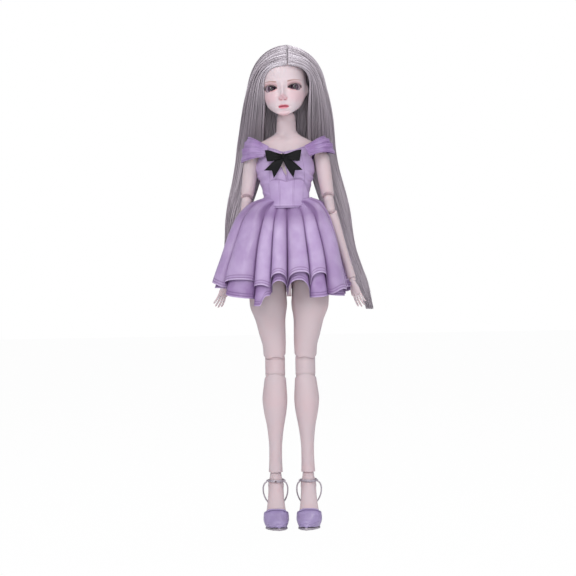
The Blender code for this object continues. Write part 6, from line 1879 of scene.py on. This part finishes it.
@dataclass
class Bodice(Garment):
    """The bodice: two cups that part in a keyhole below the bow, seams beside them, and a
    smooth basque over the waist whose point overlaps the skirt."""

    def keyhole(self, height: Array) -> Array:
        """Half width of the opening between the cups, as a drop with its point below."""
        way = (height - 0.4362) / 0.0215
        return 0.00012 + 0.0034 * np.sqrt(np.clip(way, 0.0, 1.0)) * np.sqrt(np.clip(1.12 - way, 0.0, 1.0))

    def build(self) -> None:
        """Make the body of the bodice and the basque's panel over it."""
        columns, rows = ((420, 190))
        degrees = 360.0 * np.linspace(0.0, 1.0, columns)
        away = np.minimum(degrees, 360.0 - degrees)
        top = spline(NECKLINE[:, 0], NECKLINE[:, 1], away)[:, 0]
        low = 0.4045 - 0.002 * ease((50.0 - away) / 30.0)
        down = np.linspace(0.0, 1.0, rows)[:, None]
        height = top + (low - top) * down
        angle = np.radians(degrees - 90.0)[None]
        points = torso_surface(angle, height, 0.0016 + 0.0007 * ease((away - 20.0) / 40.0)[None])
        points = points + self.folds(points, away[None], degrees[None])
        opening = self.keyhole(height)
        side = np.where(degrees < 180.0, 1.0, -1.0)[None]
        centre = CHEST_ASIDE * ease((height - 0.43) / 0.02)
        near = ease((24.0 - away) / 24.0)[None]
        points[..., 0] += near * (centre + side * opening)
        wide = bump(height, 0.447, 0.016)
        shift = (0.0014 + 0.001 * wide) * ease((away - 14.0) / 20.0)[None]
        points[..., 0] = points[..., 0] * (1.0 + 0.075 * wide) - shift
        edge = np.minimum((top - height), (height - low))
        cups = hem_line(np.abs(points[..., 0] - centre) - opening, (0.0011,)) * (away < 20.0)
        stitch = np.clip(hem_line(edge, (0.0012,)) + cups + self.seams(points), 0.0, 1.0)
        self.sew(points, False, stitch, "stretched", ["chest"], "bodice")
        self.panel()

    def seams(self, points: Array) -> Array:
        """The mask of the seams from the bust's point down each side, and the side seams."""
        x, height = np.abs(points[..., 0]), points[..., 2]
        line = 0.0175 + 0.004 * np.sin((height - 0.4045) / 0.06 * math.pi)
        return hem_line(np.abs(x - line), (0.0,), 0.0003) * 0.8

    def folds(self, points: Array, away: Array, degrees: Array) -> Array:
        """Soft creases: rays that gather under the bow, and slack folds below the bust.

        Args:
            points: The points of the bodice.
            away: Degrees from the front.
            degrees: Degrees from the front, right round.

        Returns:
            The move of each point.
        """
        x, height = points[..., 0] - CHEST_ASIDE, points[..., 2]
        ray = np.arctan2(height - 0.458, np.abs(x))
        far = np.hypot(height - 0.458, x)
        fan = 0.00042 * np.sin(ray * 13.0 + 0.6) * ease((far - 0.005) / 0.008) * ease((0.036 - far) / 0.016)
        slack = 0.00085 * np.sin((height + 0.55 * np.abs(x)) * 620.0 + degrees * 0.04)
        slack = slack * bump(height, 0.433, 0.009) * ease((away - 22.0) / 18.0) * ease((125.0 - away) / 30.0)
        waist = 0.0005 * np.sin((height - 0.35 * np.abs(x)) * 760.0) * bump(height, 0.414, 0.006)
        slack = slack + waist * ease((away - 30.0) / 15.0)
        out = fan * ease((60.0 - away) / 20.0) + slack
        angle = np.radians(degrees - 90.0)
        return xyz(out * np.cos(angle), out * np.sin(angle), 0.0)

    def panel(self) -> None:
        """The basque: a smooth panel with a two-lobed top edge, four boned seams and a corded
        lower edge that lies over the skirt's gathers."""
        columns, rows = ((180, 100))
        across = np.linspace(-1.0, 1.0, columns)[None]
        down = np.linspace(0.0, 1.0, rows)[:, None]
        lobes = 0.4292 + 0.0026 * np.sin(np.clip(np.abs(across) / 0.72, 0.0, 1.0) * math.pi)
        lobes = lobes - 0.014 * ease((across - 0.52) / 0.48) - 0.006 * ease((-across - 0.62) / 0.38)
        low = 0.3972 + 0.0062 * ease((np.abs(across) - 0.42) / 0.5)
        height = lobes + (low - lobes) * down
        angle = np.radians(across * 68.0 - 90.0 - 2.0)
        flare = 0.0014 * ease((0.401 - height) / 0.004)
        inward = (1.0 - np.minimum(down, 1.0 - down) * 22.0).clip(0.0)
        round_edge = 0.0007 * np.sqrt(np.clip(1.0 - inward**2, 0.0, 1.0))
        points = torso_surface(angle, np.maximum(height, 0.401), 0.0026 + flare + round_edge)
        points[..., 2] = height
        bones = (-0.66, -0.24, 0.24, 0.62)
        ribs = sum(bump(across, at, 0.018) for at in bones)
        points[..., 1] -= 0.00022 * ribs * np.cos(np.radians(across * 68.0))
        edge = np.minimum(lobes - height, height - low)
        lines = sum(hem_line(np.abs(across - at), (0.022,), 0.007) for at in bones)
        stitch = np.clip(hem_line(edge, (0.001,)) + lines * 0.6, 0.0, 1.0)
        piece = Garment("bodice_basque", self.finish, self.slot, self.body, 0.0005)
        piece.sew(points, False, stitch, "stretched", ["chest"])
        cord_way = np.linspace(-0.44, 0.44, 60)
        turn = np.radians(cord_way * 68.0 - 92.0)
        path = torso_surface(turn, np.full(60, 0.401), 0.005)
        path[:, 2] = 0.3966
        half = np.full((1, 60), 0.00062) * np.clip((1.0 - np.abs(np.linspace(-1, 1, 60))) / 0.05, 0.2, 1.0)
        cord = tubes("bodice_piping", path[None], half, half, 12, np.array([0.0, 0.0, 0.4]))
        trim(cord, np.zeros((len(cord.data.vertices), 2)))
        finish_piece(cord, self.finish, self.body, self.slot)


@dataclass
class Sleeve(Garment):
    """A gathered band that runs from the bodice's front edge round the top of the arm to
    its back edge."""

    side: Side = Side.LEFT

    def build(self) -> bpy.types.Object:
        """Make the band.

        Returns:
            The piece.
        """
        columns, rows = ((150, 80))
        # Upper, middle and lower edge of the band at seven places from its front to its back
        ways = np.array([
            [(0.0222, -0.0248, 0.4722), (0.0245, -0.0252, 0.4665), (0.0285, -0.0225, 0.459)],
            [(0.0315, -0.0195, 0.4775), (0.035, -0.0195, 0.469), (0.0375, -0.018, 0.4585)],
            [(0.041, -0.012, 0.483), (0.0465, -0.013, 0.4715), (0.048, -0.013, 0.4565)],
            [(0.048, 0.002, 0.486), (0.0545, 0.0025, 0.473), (0.0575, 0.003, 0.454)],
            [(0.042, 0.014, 0.484), (0.047, 0.015, 0.4715), (0.05, 0.015, 0.457)],
            [(0.033, 0.0195, 0.475), (0.037, 0.02, 0.468), (0.039, 0.019, 0.459)],
            [(0.024, 0.022, 0.462), (0.026, 0.0222, 0.459), (0.028, 0.0215, 0.455)],
        ])
        along = spline(np.linspace(0.0, 1.0, 7), ways.reshape(7, 9), np.linspace(0.0, 1.0, columns))
        along = along.reshape(columns, 3, 3)
        down = np.linspace(0.0, 1.0, rows)
        edges = along.transpose(1, 0, 2).reshape(3, -1)
        grid = spline([0.0, 0.5, 1.0], edges, down).reshape(rows, columns, 3)
        around = np.linspace(0.0, 1.0, columns)[None]
        spread = np.sin(math.pi * around) ** 0.5
        away = unit(grid - np.array([0.0415, 0.003, 0.469]))
        lower = down[:, None]
        ripple = 0.0008 * np.sin(lower * 19.0 + 5.0 * around) + 0.0004 * np.sin(lower * 43.0 - around * 9.0)
        fade = np.sin(math.pi * np.clip(lower * 0.94 + 0.03, 0, 1)) ** 0.4
        grid = grid + away * (ripple * (0.3 + 0.7 * spread) * fade)[..., None]
        if self.side is Side.LEFT:
            outer = np.sin(math.pi * around) * lower
            grid[..., 2] += 0.0095 * outer
            grid[..., 0] += 0.003 * outer
        grid[..., 0] *= self.side.value
        edge = np.minimum(down, 1.0 - down)[:, None] * 0.02 + 0.0 * around
        stitch = hem_line(edge, (0.0011,))
        return self.sew(grid, False, stitch, "gathered", ["chest"], f"sleeve_{self.side.word}")


@dataclass
class Bow(Garment):
    """A flat satin bow: two folded loops, a knot and two tails with forked ends."""

    def build(self) -> None:
        """Make the loops, the tails and the knot."""
        seat = np.array([CHEST_ASIDE, -0.0264, 0.459])
        for side in Side:
            sign = side.value
            self.loop(seat, side)
            along = np.linspace(0.0, 1.0, 60)[:, None]
            across = np.linspace(-1.0, 1.0, 40)[None]
            half = 0.0022 + 0.0054 * along**0.8
            notch = 0.006 * np.abs(across) * ease((along - 0.5) / 0.5)
            reach = 0.0222 * along + notch * along
            lean = np.array([sign * 0.64, 0.0, -0.77])
            square = np.array([0.77, 0.0, sign * 0.64])
            grid = seat + lean * reach[..., None] + square * (half * across)[..., None]
            wave = 0.0007 * np.sin(along * 5.0 + across * 1.2 + sign) + 0.0005 * np.cos(across * 3.0) * along
            grid[..., 1] = -0.0272 - 0.0008 * (sign > 0) - wave + 0.0016 * along
            name = "bow_tail_" + side.word
            tail = Garment(name, self.finish, self.slot, self.body, 0.0004)
            edge = (1.0 - np.abs(across)) * half
            tail.sew(grid, False, hem_line(edge, (0.0006,), 0.0002), "hung", ["chest"])
        knot = ball_grid(np.zeros(3), 1.0, 40, 48) * np.array([0.003, 0.0032, 0.0037])
        knot[..., 0] *= 1.0 - 0.16 * bump(knot[..., 2], 0.0, 0.0016) + 0.04 * np.sin(knot[..., 2] * 5200.0)
        piece = skin("bow_knot", knot + seat + [0.0, -0.0008, 0.0])
        trim(piece, np.vstack([knot[..., [0, 2]].reshape(-1, 2), np.zeros((2, 2))]))
        finish_piece(piece, self.finish, self.body, self.slot)

    def loop(self, seat: Array, side: Side) -> None:
        """One loop: a ribbon that leaves the knot, turns at its outer end and comes back
        behind, wider outside than at the knot and with pinched folds."""
        sign = side.value
        around = np.linspace(0.0, 1.0, 110)[None]
        across = np.linspace(-1.0, 1.0, 44)[:, None]
        out = 0.0212 * np.sin(math.pi * around) ** 0.75
        depth = 0.0021 * np.cos(math.pi * around) * (0.35 + 0.65 * np.sin(math.pi * around))
        half = 0.0028 + 0.0034 * ease(out / 0.0185)
        span = 0.0198
        lift = 0.0012 * out / span
        turned = np.sign(np.cos(math.pi * around))
        pinch = 0.00055 * np.cos(across * 7.5) * ease((0.0135 - out) / 0.01) * turned
        grid = xyz(
            seat[0] + sign * (out + 0.0003) - sign * 0.0012 * across * (out / span),
            seat[1] - depth - pinch - 0.0006,
            seat[2] + lift - half * across - 0.0007 * across * out / span,
        )
        edge = (1.0 - np.abs(across)) * half
        nodes = ("bow",) if side is Side.LEFT else ()
        ribbon = Garment("bow_loop_" + side.word, self.finish, self.slot, self.body, 0.0004)
        ribbon.sew(grid, False, hem_line(edge, (0.0006,), 0.0002), "folded", ["chest"], *nodes)


# Shoes


@dataclass
class Shoe:
    """A pointed open shoe: vamp, sole, high heel, ankle strap and the two side straps."""

    side: Side
    leather: bpy.types.Material
    silver: bpy.types.Material
    bead: bpy.types.Material

    def ride(self, piece: bpy.types.Object, finish: bpy.types.Material, slot: str, *nodes: str) -> None:
        """Dress a piece of the shoe and let it ride on the foot."""
        word = self.side.word
        finish_piece(piece, finish, f"foot_{word}", slot, *(f"{node}_{word}" for node in nodes))

    def vamp(self) -> None:
        """The leather over the toes: arches that follow the foot and close to a point. Its
        throat is cut straight across and stands a little off the foot."""
        shares = np.array([
            (0.635, 1.06, 1.0), (0.7, 1.08, 1.01), (0.78, 1.06, 1.02), (0.86, 0.94, 1.03),
            (0.93, 0.74, 1.04), (0.99, 0.5, 1.0), (1.03, 0.3, 0.78), (1.062, 0.03, 0.3),
        ])
        way = np.concatenate([np.linspace(0.635, 1.0, 60), np.linspace(1.004, 1.062, 26)])
        square = ease((0.82 - way) / 0.16)[:, None]
        wide, lift = spline(shares[:, 0], shares[:, 1:], way).T
        middle, back, _, low, high = foot_line(way, self.side)
        around = np.radians(np.linspace(-14.0, 194.0, 110))[None]
        half = (FOOT_HALF * wide + 0.001)[:, None]
        top = (high * lift + 0.0017)[:, None]
        cosine = boxed(np.cos(around), 0.8 - 0.34 * square)
        sine = boxed(np.sin(around), 0.88 - 0.2 * square)
        base = np.maximum(low + 0.0012, 0.0034)[:, None]
        height = base + (top - base) * np.maximum(sine, -0.09)
        waist = 1.0 - 0.2 * ease((0.0105 - height) / 0.01)
        drop = ease((0.7 - way) / 0.065)[:, None] * ease((sine - 0.55) / 0.4)
        across = middle[:, None] + half * waist * cosine
        grid = xyz(across, back[:, None] - 0.0066 * drop, height - 0.0042 * drop)
        piece = cloth(f"vamp_{self.side.word}_leather", grid, 0.0007, False)
        self.ride(piece, self.leather, "shoe_lilac", "shoe_vamp")
        edge = grid[0][None] + np.array([0.0, 0.0002, 0.0001])
        size = np.full((1, 110), 0.00055)
        inner = np.array([middle[0], -0.02, 0.0])
        binding = tubes(f"vamp_{self.side.word}_binding", edge, size, size, 10, inner)
        self.ride(binding, self.leather, "shoe_lilac")

    def sole(self) -> None:
        """The thin sole, with its rim wider than the vamp at the toe, and the heel's post."""
        shares = np.array([
            (-0.02, 0.2), (0.0, 0.38), (0.04, 0.52), (0.17, 0.6), (0.3, 0.58), (0.42, 0.62), (0.54, 0.76),
            (0.66, 0.96), (0.78, 1.02), (0.86, 0.93), (0.93, 0.76), (0.99, 0.57), (1.04, 0.34),
            (1.07, 0.08),
        ])
        way = np.linspace(-0.02, 1.07, 130)
        wide = 0.0132 * spline(shares[:, 0], shares[:, 1], way)[:, 0]
        middle, _, _, low, _ = foot_line(np.maximum(way, 0.0), self.side)
        back = HEEL_BACK - FOOT_LENGTH * way
        top = low - 0.0001
        deep = np.minimum(0.0029, np.maximum(top, 0.0004))
        around = turns(64)[None]
        grid = xyz(
            middle[:, None] + wide[:, None] * boxed(np.cos(around), 0.4),
            back[:, None],
            (top - deep / 2.0)[:, None] + (deep / 2.0)[:, None] * boxed(np.sin(around), 0.4),
        )
        self.ride(skin(f"sole_{self.side.word}_leather", grid), self.silver, "shoe_silver", "shoe_sole")
        rise = np.linspace(0.0, 1.0, 60)
        size = np.array([(0.0, 0.53), (0.02, 0.56), (0.1, 0.52), (0.4, 0.58), (0.75, 0.82), (1.0, 1.0)])
        radius = 0.0062 * spline(size[:, 0], size[:, 1], rise)[:, 0]
        centre = HEEL_BACK - FOOT_LENGTH * 0.09 + 0.001 * rise * (1.0 - rise)
        post = xyz(
            middle[0] + radius[:, None] * np.cos(turns(48)),
            centre[:, None] + radius[:, None] * np.sin(turns(48)),
            0.0365 * rise[:, None],
        )
        self.ride(skin(f"heel_{self.side.word}_leather", post), self.silver, "shoe_silver")

    def straps(self) -> None:
        """The band round the ankle with a stud at each end, the side straps that bulge out
        and run down to the sole, and the bead on one of them."""
        word, sign = self.side.word, self.side.value
        ankle = joint_point(f"foot_bend_{word}")
        around = turns(120)
        band = np.array([
            (0.0, 0.01, 0.054), (0.12, 0.0104, 0.054), (0.5, 0.0106, 0.0555), (0.88, 0.0104, 0.057),
            (1.0, 0.01, 0.057),
        ])
        rows = spline(band[:, 0], band[:, 1:], np.linspace(0.0, 1.0, 20))
        grid = xyz(
            ankle[0] + rows[:, :1] * np.cos(around) * 1.02,
            ankle[1] + rows[:, :1] * np.sin(around),
            rows[:, 1:] + 0.0003 * np.sin(around * 2.0),
        )
        strap = cloth(f"ankle_{word}_band", grid, 0.0006, True)
        self.ride(strap, self.silver, "shoe_silver", "ankle_strap")
        path = np.array([
            (0.0102, 0.0552), (0.0142, 0.052), (0.016, 0.046), (0.0156, 0.04), (0.0133, 0.0335),
            (0.01, 0.0285),
        ])
        line = spline(np.linspace(0.0, 1.0, 6), path, np.linspace(0.0, 1.0, 48))
        both = np.stack([
            xyz(ankle[0] + turn * line[:, 0] * (1.0 if turn == sign else 0.92), 0.0042, line[:, 1])
            for turn in (1.0, -1.0)
        ])
        size = np.ones((2, 48))
        middle = np.array([ankle[0], 0.0042, 0.042])
        side = tubes(f"side_{word}_straps", both, size * 0.0013, size * 0.0009, 14, middle)
        self.ride(side, self.silver, "shoe_silver", "side_strap_inner", "side_strap_outer")
        seats = [np.array([ankle[0] + turn * 0.011, 0.0048, 0.0556]) for turn in (1.0, -1.0)]
        studs = [ball_grid(seat, 0.0013, 16, 24) for seat in seats]
        self.ride(melt(f"studs_{word}_metal", studs, 0.00025, 2), self.silver, "shoe_silver")
        if self.side is Side.RIGHT:
            drop = ball_grid(ankle + np.array([0.0, -0.0121, -0.0068]), 0.001, 20, 28)
            self.ride(skin("ankle_bead", drop), self.bead, "shoe_silver")

    def build(self) -> None:
        """Make the whole shoe."""
        self.vamp()
        self.sole()
        self.straps()


# Studio


@dataclass
class Studio:
    """A pale floor, a white surround and five soft lamps, seen from the photograph's place."""

    distance: float = 2.2
    height: float = 0.2965
    aside: float = -0.0012
    lens: float = 110.0
    roll_deg: float = 0.95

    def camera(self) -> None:
        """The camera: it looks along +Y, level, and is rolled a little clockwise."""
        made = bpy.data.cameras.new("camera")
        made.lens = self.lens
        made.sensor_width = 36.0
        seat = link("camera", made)
        seat.matrix_world = (
            Matrix.Translation((self.aside, -self.distance, self.height))
            @ Matrix.Rotation(math.radians(90.0), 4, "X")
            @ Matrix.Rotation(math.radians(-self.roll_deg), 4, "Z")
        )
        bpy.context.scene.camera = seat

    def floor(self) -> None:
        """A large pale floor that stays nearly white to the camera and keeps a faint shadow."""
        graph = Graph("studio_floor")
        graph.set(Base_Color=(0.86, 0.86, 0.87, 1.0), Roughness=0.75)
        path = graph.node("ShaderNodeLightPath", "Is Camera Ray")
        white = graph.node("ShaderNodeEmission", "Emission", Color=(1.0, 1.0, 1.0, 1.0), Strength=1.0)
        mixer = graph.tree.nodes.new("ShaderNodeMixShader")
        graph.join(mixer.inputs[0], path * 0.975)
        graph.tree.links.new(graph.shader.outputs[0], mixer.inputs[1])
        graph.tree.links.new(white.socket, mixer.inputs[2])
        graph.tree.links.new(mixer.outputs[0], graph.tree.nodes["Material Output"].inputs["Surface"])
        corners = np.array([(-9.0, -9.0, 0.0), (9.0, -9.0, 0.0), (9.0, 9.0, 0.0), (-9.0, 9.0, 0.0)])
        plane = add_mesh("studio_floor", corners - [0.0, 0.0, 0.0004], [[0, 1, 2, 3]], False)
        plane.data.materials.append(graph.material)

    def surround(self) -> None:
        """White to the camera, and a soft grey light on the doll."""
        world = bpy.data.worlds.new("surround")
        bpy.context.scene.world = world
        world.use_nodes = True
        tree = world.node_tree
        soft = tree.nodes["Background"]
        soft.inputs[0].default_value = (0.93, 0.94, 1.0, 1.0)
        soft.inputs[1].default_value = 0.38
        white = tree.nodes.new("ShaderNodeBackground")
        white.inputs[0].default_value = (1.0, 1.0, 1.0, 1.0)
        path = tree.nodes.new("ShaderNodeLightPath")
        mixer = tree.nodes.new("ShaderNodeMixShader")
        tree.links.new(path.outputs["Is Camera Ray"], mixer.inputs[0])
        tree.links.new(soft.outputs[0], mixer.inputs[1])
        tree.links.new(white.outputs[0], mixer.inputs[2])
        tree.links.new(mixer.outputs[0], tree.nodes["World Output"].inputs[0])

    def lamp(self, name: str, place: tuple, target: tuple, size: float, watts: float) -> None:
        """A square soft lamp that faces a point.

        Args:
            name: Its name.
            place: Where it stands.
            target: What it faces.
            size: Its edge.
            watts: Its power.
        """
        made = bpy.data.lights.new(name, "AREA")
        made.size = size
        made.energy = watts
        lamp = link(name, made)
        lamp.location = place
        lamp.rotation_euler = (Vector(target) - Vector(place)).to_track_quat("-Z", "Y").to_euler()

    def build(self) -> None:
        """Set the studio up."""
        bpy.context.scene.view_settings.view_transform = "Standard"
        self.camera()
        self.floor()
        self.surround()
        for name, place, aim, size, watts in (
            ("key", (-0.8, -1.7, 1.5), 0.35, 0.8, 17.0), ("fill", (1.5, -1.5, 0.8), 0.3, 1.2, 7.0),
            ("brow", (0.1, -1.0, 2.2), 0.5, 0.5, 8.0), ("top", (0.2, 0.5, 1.9), 0.4, 1.0, 14.0),
            ("low", (0.0, -1.9, 0.14), 0.32, 1.0, 6.5),
        ):
            self.lamp(name, place, (0.0, 0.0, aim), size, watts)
        LOG.info("studio: camera, floor, surround and five lamps")


def main() -> None:
    """Build the doll from the feet up, then the studio."""
    logging.basicConfig(level=logging.INFO, format="%(name)s: %(message)s")
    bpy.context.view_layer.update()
    resin = Resin("doll_resin", linear(206, 188, 192), linear(212, 180, 184)).build()
    painted = Resin("face_resin", linear(216, 200, 204), linear(218, 190, 194), 0.42, True).build()
    steel = Steel("hook_steel").build()
    elastic = Fibre("white_elastic", linear(214, 212, 208), 0.0012).build()
    torso = Torso(resin)
    torso.chest()
    torso.shoulders()
    torso.keep(resin, "pelvis", "abdomen", "hip_ball_left", "hip_ball_right", "head_cap")
    hooks = [f"{name}_hook_{side.word}" for name in ("ankle", "wrist") for side in Side]
    torso.keep(steel, "head_hook", *hooks)
    Elastic(elastic).build()
    torso.keep(Fibre("wig_cap_net", linear(168, 158, 168)).build(), "wig_cap")
    for side in Side:
        Leg(side, resin).build()
        Arm(side, resin).build()
    head = Head(painted, Glass("eye_glass").build(), Fibre("lash_fibre", linear(44, 30, 34), 0.0003).build())
    head.face()
    head.eyes()
    head.lashes()
    Hair(Strands("silver_fibre", linear(158, 146, 155), linear(228, 220, 228)).build()).build()
    satin = Satin("lilac_satin", linear(176, 150, 194), linear(112, 78, 128), linear(208, 188, 222)).build()
    dusk = linear(148, 116, 168), linear(100, 70, 116), linear(200, 178, 218)
    lining = Satin("lilac_lining", *dusk, 0.38).build()
    black = linear(13, 13, 15), linear(8, 8, 10), linear(24, 24, 27)
    ribbon = Satin("black_satin", *black, 0.55, 0.0, gloss=0.22).build()
    hang = Bend("pelvis", "abdomen", 0.1, 0.3)
    Skirt("skirt_outer_satin", satin, "lilac_satin", hang).build("skirt_outer")
    under = {"hem": UNDER_HEM, "inset": 0.0042, "top": 0.4025, "tuck": 0.0012}
    Skirt("skirt_under_satin", lining, "lilac_lining", hang, **under).build("skirt_under")
    Bodice("bodice_satin", satin, "lilac_satin", Bend("abdomen", "chest", 0.398, 0.416)).build()
    for side in Side:
        Sleeve(f"sleeve_{side.word}_satin", lining, "lilac_lining", "chest", side=side).build()
    Bow("bow", ribbon, "black_satin", "chest").build()
    leather = Leather("shoe_lilac", linear(160, 142, 186), linear(184, 168, 206)).build()
    silver = Leather("shoe_silver", linear(176, 166, 176), linear(206, 198, 206), 0.65, 0.3).build()
    garnet = Leather("garnet_bead", linear(70, 30, 34), linear(96, 44, 46), 0.0, 0.15).build()
    for side in Side:
        Shoe(side, leather, silver, garnet).build()
    Studio().build()


if __name__ == "__main__":
    main()
